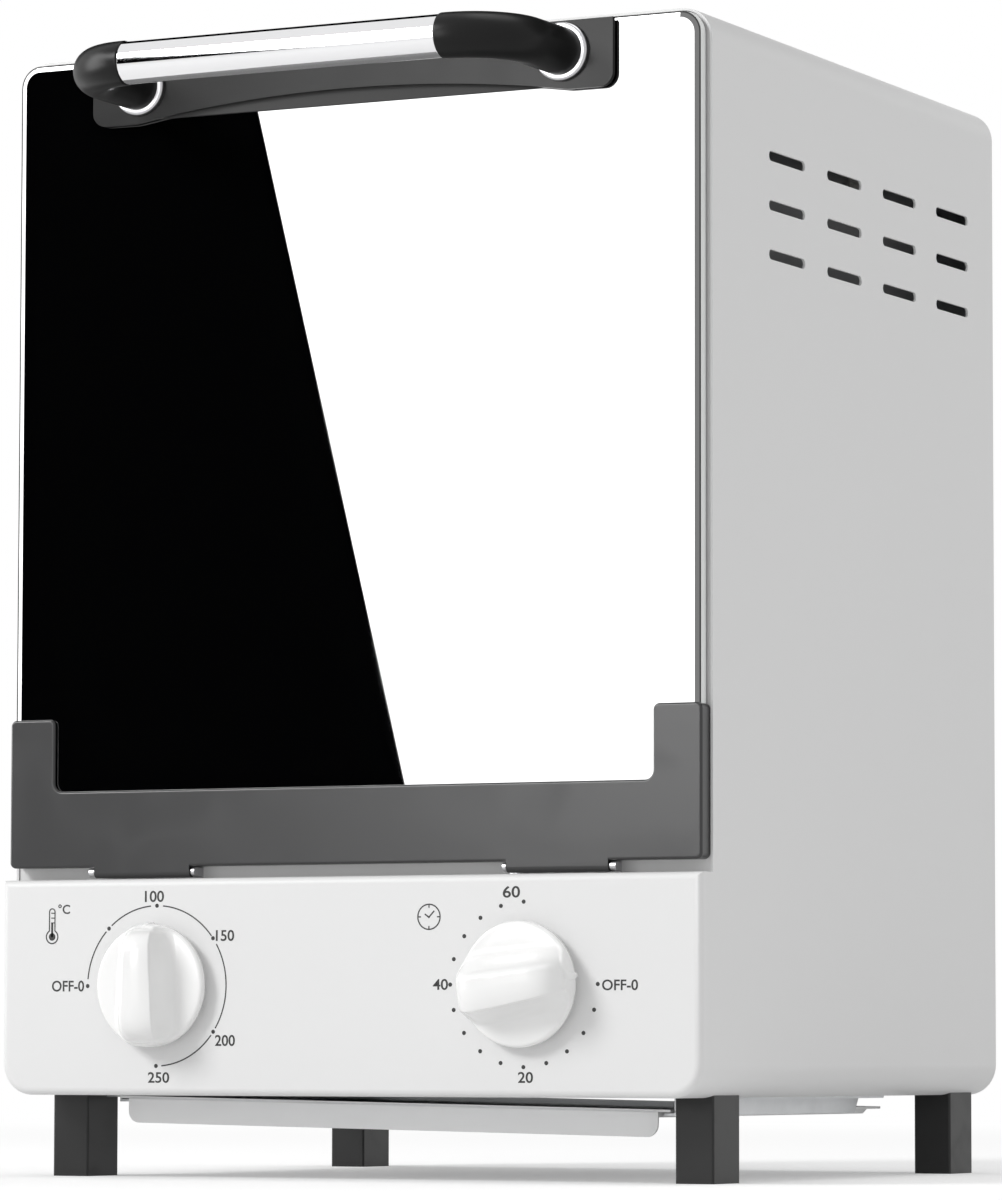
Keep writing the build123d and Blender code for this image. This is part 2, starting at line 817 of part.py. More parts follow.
# Lower door trim: one folded sheet that wraps the glass and rolls into two hinge knuckles
def make_door_trim():
    upright_top = trim_bottom + trim_upright
    band_top = trim_bottom + trim_band
    inner_x = trim_half - trim_upright_width
    outline = rect(-trim_half, trim_half, trim_bottom, upright_top)
    outline -= rect(-inner_x, inner_x, band_top, upright_top + 1)
    corners = outline.vertices()
    inner = [v for v in corners if abs(v.Y - band_top) < 0.01]
    outer = [v for v in corners if abs(v.Y - band_top) >= 0.01]
    outline = fillet(inner, trim_inner_radius)
    outer = [v for v in outline.vertices() if v.Y > upright_top - 0.01 or v.Y < trim_bottom + 0.01]
    outline = fillet(outer, trim_corner_radius)
    trim = along_y(outline, trim_front_y, trim_back_y)
    side_edges = front_edges(trim).filter_by(Axis.Z)
    bends = [e for e in side_edges if abs(e.center().X) > trim_half - 0.01]
    trim = fillet(bends, trim_bend_radius)
    pocket_half = trim_half - trim_sheet
    trim -= box(-pocket_half, pocket_half, trim_front_y + trim_sheet, trim_back_y + 1,
                trim_bottom + trim_sheet, upright_top + 1)
    for side in (-1, 1):
        x0 = min(side * knuckle_inner_x, side * knuckle_outer_x)
        x1 = max(side * knuckle_inner_x, side * knuckle_outer_x)
        trim += rod_x(hinge_y, hinge_z, knuckle_radius, x0, x1)
        trim += box(x0, x1, trim_front_y, trim_front_y + trim_sheet, hinge_z, trim_bottom + 1)
        trim -= rod_x(hinge_y, hinge_z, hinge_bore_radius, x0 - 1, x1 + 1)
    return trim


# Adhesive bed between the trim and the glass
def make_glass_bed():
    side = glass_half - 6
    return box(-side, side, trim_front_y + trim_sheet, glass_front_y,
               glass_bottom + 3, trim_bottom + trim_band - 3)


# Hinge bracket: a leaf on the front frame with two ears that carry the pin
def make_hinge_bracket():
    leaf_x0 = knuckle_inner_x - ear_gap - ear_sheet
    leaf_x1 = knuckle_outer_x + ear_gap + ear_sheet
    low = panel_top + hinge_leaf_clear
    high = trim_bottom - hinge_leaf_clear - 0.2
    bracket = box(leaf_x0, leaf_x1, frame_front - hinge_leaf, frame_front, low, high)
    nose = Pos(hinge_y, hinge_z) * Circle(ear_nose)
    nose += rect(hinge_y, frame_front - 0.1, hinge_z - ear_nose, high)
    for x0 in (leaf_x0, knuckle_outer_x + ear_gap):
        bracket += along_x(nose, x0, x0 + ear_sheet)
    return bracket - rod_x(hinge_y, hinge_z, hinge_pin_radius, leaf_x0 - 1, leaf_x1 + 1)


def make_hinge_pin():
    x0 = knuckle_inner_x - ear_gap - ear_sheet
    x1 = knuckle_outer_x + ear_gap + ear_sheet
    pin = rod_x(hinge_y, hinge_z, hinge_pin_radius, x0, x1)
    return pin + rod_x(hinge_y, hinge_z, pin_head_radius, x1, x1 + pin_head)


def ring_sector(inner, outer, angle0, angle1):
    ring = Circle(outer) - Circle(inner)
    far = 3 * outer
    middle = (angle0 + angle1) / 2
    rays = [(far * math.cos(math.radians(a)), far * math.sin(math.radians(a))) for a in (angle0, middle, angle1)]
    return Pos(hinge_y, hinge_z) * (ring & make_face(Polyline((0, 0), *rays, close=True)))


# Door check arm: a quadrant fixed to the door, running through a slot in the front frame
def make_door_arm():
    shape = ring_sector(arm_inner_radius, arm_outer_radius, arm_stop_angle, arm_start_angle)
    shape += ring_sector(arm_inner_radius, arm_stop_radius, arm_stop_angle, arm_tail_angle)
    tab_back = glass_back_y + arm_tab_sheet
    low = hinge_z + arm_inner_radius - arm_tab_under
    high = hinge_z + arm_outer_radius + arm_tab_over
    root = Pos(hinge_y, hinge_z) * (Circle(arm_outer_radius) - Circle(arm_inner_radius))
    shape += root & rect(glass_back_y, frame_back + 2, hinge_z, high)
    arm = along_x(shape, arm_x, arm_x + arm_sheet)
    arm += box(arm_x + arm_sheet - arm_tab_width, arm_x + arm_sheet, glass_back_y, tab_back, low, high)
    return arm


# Handle plate: a bar with an arched lower edge and round lower corners
def make_handle_plate():
    top = glass_top - handle_plate_top_gap + handle_plate_thickness
    low = top - handle_plate_tall
    foot_x = handle_plate_half - handle_plate_foot
    half = handle_plate_half
    arch = ThreePointArc((-foot_x, low), (0, low + handle_plate_arch), (foot_x, low))
    rest = Polyline((foot_x, low), (half, low), (half, top), (-half, top), (-half, low), (-foot_x, low))
    outline = make_face([arch, rest])
    low_corners = [v for v in outline.vertices() if abs(v.X) > half - 0.1 and v.Y < low + 0.1]
    outline = fillet(low_corners, handle_plate_radius)
    plate = along_y(outline, plate_front_y, pad_front_y)
    for x in handle_screw_places():
        plate -= rod_y(x, handle_z, handle_screw_radius + handle_screw_hole_gap, plate_front_y - 1, pad_front_y + 1)
    return plate


# Straight backing pad between the handle plate and the glass
def make_handle_pad():
    top = glass_top - handle_plate_top_gap
    low = top - handle_plate_tall + handle_plate_thickness + handle_pad_lift
    pad = along_y(rect(-handle_pad_half, handle_pad_half, low, top), pad_front_y, glass_front_y)
    for x in handle_screw_places():
        pad -= rod_y(x, handle_z, handle_screw_radius + handle_screw_hole_gap, pad_front_y - 1, glass_front_y + 1)
    return pad


# Chromed grip tube
def make_handle_grip():
    ring = Pos(grip_y, handle_z) * (Circle(grip_radius) - Circle(grip_radius - grip_wall))
    return along_x(ring, -grip_half_length, grip_half_length)


# Moulded elbow: a round arm that turns from the grip back to the door, with a spigot inside the grip
def make_elbow():
    bend_end = (handle_post_x, grip_y + elbow_bend, handle_z)
    start = (grip_half_length, grip_y, handle_z)
    half_turn = math.sqrt(0.5)
    middle = (grip_half_length + elbow_bend * half_turn, grip_y + elbow_bend * (1 - half_turn), handle_z)
    arc = ThreePointArc(start, middle, bend_end)
    post = Line(bend_end, (handle_post_x, elbow_root_y, handle_z))
    path = Wire([arc.edge(), post.edge()])
    first = Plane(origin=start, z_dir=(1, 0, 0)) * Circle(elbow_start_radius)
    bent = Plane(origin=bend_end, z_dir=(0, 1, 0)) * Circle((elbow_start_radius + elbow_root_radius) / 2)
    last = Plane(origin=path @ 1, z_dir=(0, 1, 0)) * Circle(elbow_root_radius)
    elbow = sweep([first, bent, last], path=path, multisection=True)
    spigot = grip_radius - grip_wall - spigot_gap
    elbow += rod_x(grip_y, handle_z, spigot, grip_half_length - spigot_length, grip_half_length + 1)
    bore = rod_y(handle_post_x, handle_z, handle_screw_radius + spigot_gap,
                 elbow_root_y - handle_screw_reach - 1, elbow_root_y + 1)
    return elbow - bore


def make_ferrule():
    ferrule = rod_y(handle_post_x, handle_z, ferrule_radius, elbow_root_y, plate_front_y)
    ferrule = fillet(front_edges(ferrule), ferrule_thickness / 2)
    return ferrule - rod_y(handle_post_x, handle_z, handle_screw_radius + handle_screw_hole_gap,
                           elbow_root_y - 1, plate_front_y + 1)


def make_handle_screw():
    head_end = glass_back_y + handle_screw_head
    screw = rod_y(handle_post_x, handle_z, handle_screw_head_radius, glass_back_y, head_end)
    screw = fillet(screw.faces().sort_by(Axis.Y)[-1].edges(), handle_screw_head / 2)
    return screw + rod_y(handle_post_x, handle_z, handle_screw_radius,
                         elbow_root_y - handle_screw_reach, glass_back_y)


# Pull-out tray: a shallow pan with side rims, a raked rear end and a deep front lip
def make_pull_out_tray():
    rear = tray_front_y + tray_length
    low = tray_bottom_z
    top = tray_top_z
    side = make_face(Polyline((tray_front_y, low), (rear - tray_rear_rake, low), (rear, top),
                              (tray_front_y, top), close=True))
    inner = make_face(Polyline((tray_front_y + tray_sheet, low + tray_sheet),
                               (rear - tray_rear_rake - tray_sheet, low + tray_sheet),
                               (rear - tray_sheet, top + 0.1),
                               (tray_front_y + tray_sheet, top + 0.1), close=True))
    tray = along_x(side, -tray_half, tray_half)
    tray -= along_x(inner, -tray_half + tray_sheet, tray_half - tray_sheet)
    for x0, x1 in ((-tray_half - tray_rim, -tray_half), (tray_half, tray_half + tray_rim)):
        tray += box(x0, x1, tray_front_y, rear, top - tray_sheet, top)
    lip = rect(-tray_half, tray_half, top - lip_top_gap - lip_height, top - lip_top_gap)
    lip = fillet(lip.vertices().group_by(Axis.Y)[0], lip_radius)
    tray += along_y(lip, tray_front_y - tray_sheet, tray_front_y)
    turn = Pos(0, 0, top) * Rot(0, tray_droop, 0) * Pos(0, 0, -top)
    return turn * tray


# Z-shaped guide under the case that carries a rim of the tray, which hangs lower on the right
def make_tray_guide(side, y, runner):
    rim_x = tray_half + tray_rim
    lean = side * math.tan(math.radians(tray_droop))
    toe_top = tray_top_z - tray_sheet - rim_x * lean - guide_gap
    leg_x = rim_x + guide_gap
    guide = box(leg_x, leg_x + guide_sheet, y, y + runner, toe_top - guide_sheet, case_bottom)
    guide += box(leg_x - guide_toe, leg_x + guide_sheet, y, y + runner, toe_top - guide_sheet, toe_top)
    guide += box(leg_x, leg_x + guide_foot, y, y + guide_length, case_bottom - guide_sheet, case_bottom)
    return guide if side > 0 else mirror(guide, about=Plane.YZ)


def make_tray_guides():
    guides = []
    for side in (-1, 1):
        guides.append(make_tray_guide(side, guide_front_y, guide_front_runner))
        guides.append(make_tray_guide(side, guide_rear_y, guide_length))
    return guides


# Foot: a square block that follows the rounded case above it
def make_foot(x, y):
    block = box(x - foot_width / 2, x + foot_width / 2, y - foot_depth / 2, y + foot_depth / 2,
                0, case_bottom + case_corner_radius / 2)
    block = fillet(block.edges().filter_by(Axis.Z), foot_edge_radius)
    block -= along_y(case_outline(0), y - foot_depth, y + foot_depth)
    block = max(block.solids(), key=lambda s: s.volume)
    block -= Pos(x, y, 0) * Cylinder(foot_screw_radius + spigot_gap, 3 * foot_height)
    return block - Pos(x, y, 0) * Cylinder(foot_counterbore_radius, foot_height - foot_floor,
                                           align=(Align.CENTER, Align.CENTER, Align.MIN))


def make_foot_screws():
    screws = []
    head_z = foot_height - foot_floor
    for x, y in foot_centres():
        head = Pos(x, y, head_z - foot_screw_head_height) * Cylinder(
            foot_screw_head_radius, foot_screw_head_height, align=(Align.CENTER, Align.CENTER, Align.MIN))
        shank = Pos(x, y, head_z) * Cylinder(
            foot_screw_radius, foot_floor + foot_screw_reach, align=(Align.CENTER, Align.CENTER, Align.MIN))
        screws.append(head + shank)
    return screws


# Bottom plate with its vents, lying on the flanges of the case
def make_bottom_plate():
    half = half_width - bottom_flange + rear_flange
    low = case_bottom + case_sheet
    y0 = panel_return - 1
    y1 = back_inner - case_sheet - seam_gap
    plate = box(-half, half, y0, y1, low, low + case_sheet)
    reach = half_width - floor_vent_side_inset
    pitch = 2 * reach / floor_vent_columns
    slot = SlotOverall(pitch - floor_vent_bar, floor_vent_width)
    for x in spaced(reach - pitch / 2, floor_vent_columns):
        for y in spaced((y1 - y0) / 2 - floor_vent_end_inset, floor_vent_rows):
            plate -= along_z(Pos(x, (y0 + y1) / 2 + y) * slot, low - 1, low + 2)
    return plate


# Back panel with its vents and the hole for the cord gland
def make_back_panel():
    panel = along_y(case_outline(case_sheet + seam_gap), back_inner, back_outer)
    reach = half_width - rear_vent_side_inset
    pitch = 2 * reach / rear_vent_columns
    slot = SlotOverall(pitch - rear_vent_bar, rear_vent_height)
    for x in spaced(reach - pitch / 2, rear_vent_columns):
        for row in range(rear_vent_rows):
            z = case_top - rear_vent_top_drop - row * rear_vent_pitch_z
            panel -= along_y(Pos(x, z) * slot, back_inner - 1, back_outer + 1)
    panel -= rod_y(gland_x, case_bottom + gland_rise, gland_radius + gland_hole_gap, back_inner - 1, back_outer + 1)
    for x, z in case_screw_places():
        panel -= rod_y(x, z, case_screw_radius + seam_gap, back_inner - 1, back_outer + 1)
    return panel


def make_case_screws():
    screws = []
    for x, z in case_screw_places():
        head = rod_y(x, z, case_screw_head_radius, back_outer, back_outer + case_screw_head)
        head = fillet(head.faces().sort_by(Axis.Y)[-1].edges(), case_screw_head / 2)
        screws.append(head + rod_y(x, z, case_screw_radius - seam_gap / 2, back_inner - case_screw_reach, back_outer))
    return screws


# Cord gland in the back panel, with nothing in it
def make_cord_gland():
    z = case_bottom + gland_rise
    gland = rod_y(gland_x, z, gland_collar_radius, back_outer, back_outer + gland_collar)
    gland = fillet(gland.faces().sort_by(Axis.Y)[-1].edges(), gland_collar / 3)
    gland += rod_y(gland_x, z, gland_radius, back_inner - gland_inner_length, back_outer + 1)
    return gland - rod_y(gland_x, z, gland_bore_radius, back_inner - gland_inner_length - 1,
                         back_outer + gland_collar + 1)


# Ceramic terminal block on the bottom plate
def make_terminal_block():
    floor_z = case_bottom + 2 * case_sheet
    y1 = back_inner - case_sheet - block_rear_gap - gland_inner_length
    block = box(gland_x - block_width / 2, gland_x + block_width / 2, y1 - block_depth, y1,
                floor_z, floor_z + block_height)
    block = fillet(block.edges().filter_by(Axis.Z), 2)
    for i in range(block_screw_count):
        x = gland_x + (i - (block_screw_count - 1) / 2) * block_screw_pitch
        block -= Pos(x, y1 - block_depth / 2, floor_z + block_height) * Cylinder(block_screw_radius, block_height)
    return block


def save(name, pieces):
    if not isinstance(pieces, list):
        pieces = [pieces]
    solids = []
    for piece in pieces:
        solids += (Pos(0, shift_y, 0) * piece).solids()
    shape = solids[0] if len(solids) == 1 else Compound(children=solids)
    export_step(shape, "parts/" + name + ".step")


os.makedirs("parts", exist_ok=True)

save("case_wrap", make_case_wrap())
save("control_panel", make_control_panel())
save("front_frame", make_front_frame())
save("back_panel", make_back_panel())
save("bottom_plate", make_bottom_plate())
save("chamber_liner", make_chamber_liner())
save("heat_shield", make_heat_shield())
for heater_name, heater_y, heater_z in heater_places:
    save(heater_name, make_heater(heater_y, heater_z))
save("heater_bushes", make_heater_bushes())
save("wire_rack", make_wire_rack())
save("instrument_tray", make_instrument_tray())
save("control_bracket", make_control_bracket())
save("thermostat", make_thermostat())
save("thermostat_bulb", make_thermostat_bulb())
save("bulb_clips", make_bulb_clips())
save("timer", make_timer())
save("timer_bell", make_timer_bell())
save("temperature_shaft", make_shaft(temperature_x))
save("temperature_knob", make_knob(temperature_x, temperature_rest_turn))
save("timer_shaft", make_shaft(timer_x))
save("timer_knob", make_knob(timer_x, timer_rest_turn))
save("door_glass", make_door_glass())
save("door_trim", make_door_trim())
save("glass_bed", make_glass_bed())
right_bracket, left_bracket = both_sides(make_hinge_bracket())
save("hinge_bracket_left", left_bracket)
save("hinge_bracket_right", right_bracket)
save("hinge_pins", both_sides(make_hinge_pin()))
right_arm, left_arm = both_sides(make_door_arm())
save("door_arm_left", left_arm)
save("door_arm_right", right_arm)
save("handle_plate", make_handle_plate())
save("handle_pad", make_handle_pad())
save("handle_grip", make_handle_grip())
right_elbow, left_elbow = both_sides(make_elbow())
save("handle_elbow_left", left_elbow)
save("handle_elbow_right", right_elbow)
save("handle_ferrules", both_sides(make_ferrule()))
save("handle_screws", both_sides(make_handle_screw()))
save("pull_out_tray", make_pull_out_tray())
save("tray_guides", make_tray_guides())
foot_names = ("foot_front_left", "foot_rear_left", "foot_front_right", "foot_rear_right")
for foot_name, centre in zip(foot_names, foot_centres()):
    save(foot_name, make_foot(*centre))
save("foot_screws", make_foot_screws())
save("case_screws", make_case_screws())
save("cord_gland", make_cord_gland())
save("terminal_block", make_terminal_block())
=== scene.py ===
"""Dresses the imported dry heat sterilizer: materials, dial print, knobs, handle, screws and a plain studio."""

import math

import bpy
import numpy as np
from bpy.props import FloatProperty, FloatVectorProperty, IntProperty, PointerProperty
from mathutils import Matrix, Vector


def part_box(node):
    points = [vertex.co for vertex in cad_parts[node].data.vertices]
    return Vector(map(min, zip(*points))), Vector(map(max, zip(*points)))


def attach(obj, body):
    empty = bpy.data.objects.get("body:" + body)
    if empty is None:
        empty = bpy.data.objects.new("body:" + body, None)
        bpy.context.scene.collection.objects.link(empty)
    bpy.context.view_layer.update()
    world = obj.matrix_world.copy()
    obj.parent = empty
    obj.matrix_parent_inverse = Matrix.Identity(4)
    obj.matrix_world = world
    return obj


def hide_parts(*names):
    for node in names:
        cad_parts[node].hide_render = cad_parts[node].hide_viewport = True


bl_info = {
    "name": "Dry heat sterilizer",
    "version": (1, 0, 0),
    "blender": (4, 5, 0),
    "location": "3D View > Sidebar > Sterilizer",
    "description": "Builds the looks of a bench top dry heat sterilizer over its solid model",
    "category": "Object",
}

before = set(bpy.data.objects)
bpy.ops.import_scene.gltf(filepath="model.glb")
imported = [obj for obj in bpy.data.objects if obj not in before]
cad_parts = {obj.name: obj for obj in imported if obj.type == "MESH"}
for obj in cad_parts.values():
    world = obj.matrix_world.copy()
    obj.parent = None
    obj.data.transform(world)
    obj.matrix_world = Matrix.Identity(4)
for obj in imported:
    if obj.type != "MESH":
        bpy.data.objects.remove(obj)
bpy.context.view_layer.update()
MM = 0.001
KNOB_LOW = np.array(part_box("temperature_knob")[0])
PANEL_FACE = np.array(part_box("control_panel")[0])[1]
GRIP_LOW, GRIP_HIGH = (np.array(c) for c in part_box("handle_grip"))
FERRULE_LOW = np.array(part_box("handle_ferrules")[0])
GLASS_LOW, GLASS_HIGH = (np.array(c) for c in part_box("door_glass"))
SCREW_HEAD_RADIUS = 2.9 * MM
LOOKED_AT = ("Is Camera Ray", "Is Glossy Ray", "Is Transmission Ray")


# Sizes and colours that a user may change

def length(name, description, default, precision=4):
    """A length property, with its default in millimetres."""
    return FloatProperty(
        name=name, description=description, default=default * MM, unit="LENGTH", precision=precision)


def turn_of(name, description, default):
    """An angle property, with its default in degrees."""
    return FloatProperty(name=name, description=description, default=math.radians(default), subtype="ANGLE")


def colour(name, description, *default):
    """A colour property, with its default as red, green and blue."""
    return FloatVectorProperty(name=name, description=description, subtype="COLOR", size=3, default=default)


class SterilizerSizes(bpy.types.PropertyGroup):
    edge_round: length("Sheet edge", "Rounding of cut sheet edges", 0.2, 5)
    print_thickness: length("Print thickness", "Thickness of the dial print", 0.05, 6)
    dial_radius: length("Dial radius", "Radius of the printed dial line and dots", 26.1, 5)
    dial_line: length("Dial line", "Width of the printed dial line", 0.42, 5)
    dial_dot: length("Dial dot", "Radius of a printed dot", 0.68, 5)
    knob_radius: length("Knob radius", "Radius of a knob's skirt", 20.0)
    knob_rim: length("Knob rim", "Height of a knob's rim over the panel", 5.2)
    fin_half_length: length("Fin half length", "Half the length of a knob's fin", 18.9)
    fin_nose_half: length("Fin nose", "Half the fin's width at its nose", 5.8)
    fin_tail_half: length("Fin tail", "Half the fin's width at its tail", 7.8)
    fin_foot: length("Fin foot", "Width of the hollow that blends the fin into the face", 4.6)
    timer_rest_turn: turn_of(
        "Timer rest turn", "Clockwise turn of the timer knob's nose from straight up", 82.0)
    elbow_bend: length("Elbow bend", "Bend radius of a handle elbow's middle line", 20.5)
    elbow_start: length("Elbow start", "Radius of an elbow beside the grip", 7.3)
    elbow_root: length("Elbow root", "Radius of an elbow beside the door", 7.8)
    knob_rings: IntProperty(
        name="Knob rings", description="Rings of a knob's face", default=84, min=20, max=200)
    knob_rays: IntProperty(
        name="Knob rays", description="Rays of a knob's face", default=300, min=60, max=720)


class SterilizerColours(bpy.types.PropertyGroup):
    enamel: colour("Case enamel", "White enamel of the case", 0.80, 0.80, 0.80)
    zinc: colour("Zinc sheet", "Coated sheet of the back and the bottom", 0.62, 0.63, 0.64)
    liner: colour("Chamber sheet", "Aluminised sheet of the chamber", 0.56, 0.56, 0.57)
    sheath: colour("Heater sheath", "Heating tubes", 0.18, 0.17, 0.16)
    ceramic: colour("Ceramic", "Bushes and terminal block", 0.80, 0.77, 0.70)
    steel: colour("Steel", "Plain and stainless steel", 0.52, 0.52, 0.53)
    chrome: colour("Chrome", "Bright plating", 0.80, 0.80, 0.81)
    copper: colour("Copper", "Capillary tube and bulb", 0.62, 0.28, 0.15)
    brass: colour("Brass", "Shafts", 0.60, 0.44, 0.17)
    knob: colour("Knob white", "Knobs", 0.92, 0.92, 0.915)
    glass: colour("Door glass", "Dark reflective glass", 0.0012, 0.0012, 0.0014)
    trim: colour("Trim grey", "Dark grey trim of the door", 0.025, 0.025, 0.026)
    rubber: colour("Silicone", "Bedding strips", 0.02, 0.02, 0.02)
    black: colour("Handle black", "Handle plate and elbows", 0.010, 0.010, 0.010)
    foot: colour("Foot black", "Feet and gland", 0.018, 0.018, 0.018)
    pan: colour("Tray aluminium", "Pull out tray", 0.93, 0.93, 0.93)
    ink: colour("Dial ink", "Printed marks", 0.012, 0.012, 0.012)


class StudioSettings(bpy.types.PropertyGroup):
    ambient: FloatProperty(
        name="Ambient", description="Strength of the plain surrounding light", default=0.60)
    key_power: FloatProperty(
        name="Key power", description="Power of the front left lamp", default=46.0, unit="POWER")
    top_power: FloatProperty(
        name="Top power", description="Power of the top lamp", default=10.0, unit="POWER")
    card_strength: FloatProperty(
        name="Card strength", description="Brightness of the white card in the door glass", default=7.0)
    lens: FloatProperty(name="Lens", description="Focal length of the camera in millimetres", default=174.89)
    camera: FloatVectorProperty(
        name="Camera", description="Camera place", default=(0.894976, -1.747673, 0.040219), unit="LENGTH")
    yaw: turn_of("Yaw", "Turn of the camera to the left", 26.9175)
    pitch: turn_of("Pitch", "Upward tilt of the camera", 4.4686)
    roll: turn_of("Roll", "Roll of the camera", 0.1254)


def sizes():
    return bpy.context.scene.sterilizer_sizes


def colours():
    return bpy.context.scene.sterilizer_colours


def studio():
    return bpy.context.scene.sterilizer_studio


# Meshes from whole arrays of points

def mesh_object(name, points, faces, material, smooth=True):
    """A mesh object from an (n, 3) array of points and its faces' corner numbers."""
    mesh = bpy.data.meshes.new(name)
    mesh.from_pydata(np.asarray(points).tolist(), [], [[int(c) for c in face] for face in faces])
    mesh.polygons.foreach_set("use_smooth", np.full(len(mesh.polygons), smooth))
    mesh.update()
    mesh.materials.append(material)
    obj = bpy.data.objects.new(name, mesh)
    bpy.context.scene.collection.objects.link(obj)
    return obj


def full_turn(steps):
    """Equally spaced angles round a circle, without a second zero at the end."""
    return np.linspace(0, 2 * np.pi, steps, endpoint=False)


def ring_quads(rows, columns):
    """Corner numbers of the quads between neighbouring rings of a rows by columns grid."""
    row = np.arange(rows - 1)[:, None]
    column = np.arange(columns)[None, :]
    after = (column + 1) % columns
    quads = np.stack([row * columns + column, row * columns + after,
                      (row + 1) * columns + after, (row + 1) * columns + column], axis=-1)
    return quads.reshape(-1, 4)


def capped_rings(name, rings, material, turn_over=False):
    """A closed skin over an (n, m, 3) array of rings: quads between them and a fan at each end."""
    rows, columns = rings.shape[:2]
    points = rings.reshape(-1, 3)
    ends = np.stack([rings[0].mean(axis=0), rings[-1].mean(axis=0)])
    quads = ring_quads(rows, columns)
    step = np.arange(columns)
    after = (step + 1) % columns
    first = np.stack([np.full(columns, len(points)), after, step], axis=-1)
    base = (rows - 1) * columns
    last = np.stack([np.full(columns, len(points) + 1), base + step, base + after], axis=-1)
    faces = quads.tolist() + first.tolist() + last.tolist()
    if turn_over:
        faces = [f[::-1] for f in faces]
    return mesh_object(name, np.concatenate([points, ends]), faces, material)


def turned(name, profile, centre, axis, sides, material):
    """A body of revolution. Each row of profile is (radius, distance along the axis), and the point at an
    angle is centre + distance * axis + radius * (cos * first + sin * second), with two directions across."""
    axis = np.asarray(axis, float)
    first = np.array([0.0, 0.0, 1.0]) if abs(axis[2]) < 0.5 else np.array([1.0, 0.0, 0.0])
    second = np.cross(axis, first)
    profile = np.asarray(profile, float)
    angle = full_turn(sides)
    across = np.cos(angle)[:, None] * first + np.sin(angle)[:, None] * second
    rings = np.asarray(centre) + profile[:, 1, None, None] * axis + profile[:, 0, None, None] * across[None]
    return capped_rings(name, rings, material, turn_over=True)


def joined(name, objects):
    """One mesh object from several, with the first one's material."""
    points, faces, start = [], [], 0
    material = objects[0].data.materials[0]
    for obj in objects:
        mesh = obj.data
        co = np.empty(len(mesh.vertices) * 3)
        mesh.vertices.foreach_get("co", co)
        points.append(co.reshape(-1, 3))
        faces += [[start + i for i in p.vertices] for p in mesh.polygons]
        start += len(mesh.vertices)
        bpy.data.objects.remove(obj)
        bpy.data.meshes.remove(mesh)
    return mesh_object(name, np.concatenate(points), faces, material)


BEVEL_SLACK = 16.0


def sharpen(obj, angle=30.0, edge=0.0):
    """Smooth shading that keeps corners above the angle sharp, or rounds them by edge. The faces of a
    rounded corner meet at less than its angle, so the split angle is then raised by the slack."""
    if edge > 0:
        bevel = obj.modifiers.new("edge", "BEVEL")
        bevel.width = edge
        bevel.segments = 2
        bevel.limit_method = "ANGLE"
        bevel.angle_limit = math.radians(angle)
    split = obj.modifiers.new("corners", "EDGE_SPLIT")
    split.split_angle = math.radians(angle + (BEVEL_SLACK if edge > 0 else 0.0))
    weighted = obj.modifiers.new("flats", "WEIGHTED_NORMAL")
    weighted.keep_sharp = True


def dress(node, maker, edge=0.0, angle=30.0):
    """Gives a solid of the frame its material, joins its triangles for shading and rounds its edges."""
    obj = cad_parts[node]
    mesh = obj.data
    mesh.materials.clear()
    mesh.materials.append(finish_of(maker))
    if mesh.attributes.get("custom_normal"):
        mesh.attributes.remove(mesh.attributes["custom_normal"])
    mesh.polygons.foreach_set("use_smooth", np.ones(len(mesh.polygons), bool))
    weld = obj.modifiers.new("weld", "WELD")
    weld.merge_threshold = 1e-6
    sharpen(obj, angle, edge)


# Shader nodes

def fill(node, values):
    """Sets a node's inputs by name, with an underscore for each space."""
    for key, value in values.items():
        node.inputs[key.replace("_", " ")].default_value = value
    return node


def new_node(tree, kind, **values):
    """A shader node with its inputs filled from the values."""
    return fill(tree.nodes.new("ShaderNode" + kind), values)


def operation_node(tree, kind, operation):
    """A math or vector math node, set to its operation."""
    node = new_node(tree, kind)
    node.operation = operation
    return node


def colour_mix(tree):
    """A mix node that mixes colours."""
    mix = new_node(tree, "Mix")
    mix.data_type = "RGBA"
    return mix


def wire(tree, *pairs):
    """Links the output of each pair to its input."""
    for output, socket in pairs:
        tree.links.new(output, socket)


def node_group(name, inputs, outputs):
    """A shader group, what it is given and its results. Inputs are (name, type, default), outputs
    (name, type)."""
    group = bpy.data.node_groups.new(name, "ShaderNodeTree")
    for label, kind, default in inputs:
        socket = group.interface.new_socket(name=label, in_out="INPUT", socket_type="NodeSocket" + kind)
        if default is not None:
            socket.default_value = default
    for label, kind in outputs:
        group.interface.new_socket(name=label, in_out="OUTPUT", socket_type="NodeSocket" + kind)
    return group, group.nodes.new("NodeGroupInput").outputs, group.nodes.new("NodeGroupOutput").inputs


def make_tone_drift():
    """Colour that wanders slowly between a darker and a lighter tone of itself."""
    group, given, result = node_group(
        "tone_drift", [("Vector", "Vector", None), ("Dark", "Color", (0.5, 0.5, 0.5, 1.0)),
                       ("Light", "Color", (0.6, 0.6, 0.6, 1.0)), ("Scale", "Float", 12.0)],
        [("Color", "Color")])
    noise = new_node(group, "TexNoise", Detail=4.0, Roughness=0.6)
    mix = colour_mix(group)
    wire(group, (given["Vector"], noise.inputs["Vector"]), (given["Scale"], noise.inputs["Scale"]),
         (noise.outputs["Fac"], mix.inputs["Factor"]), (given["Dark"], mix.inputs["A"]),
         (given["Light"], mix.inputs["B"]), (mix.outputs["Result"], result["Color"]))
    return group


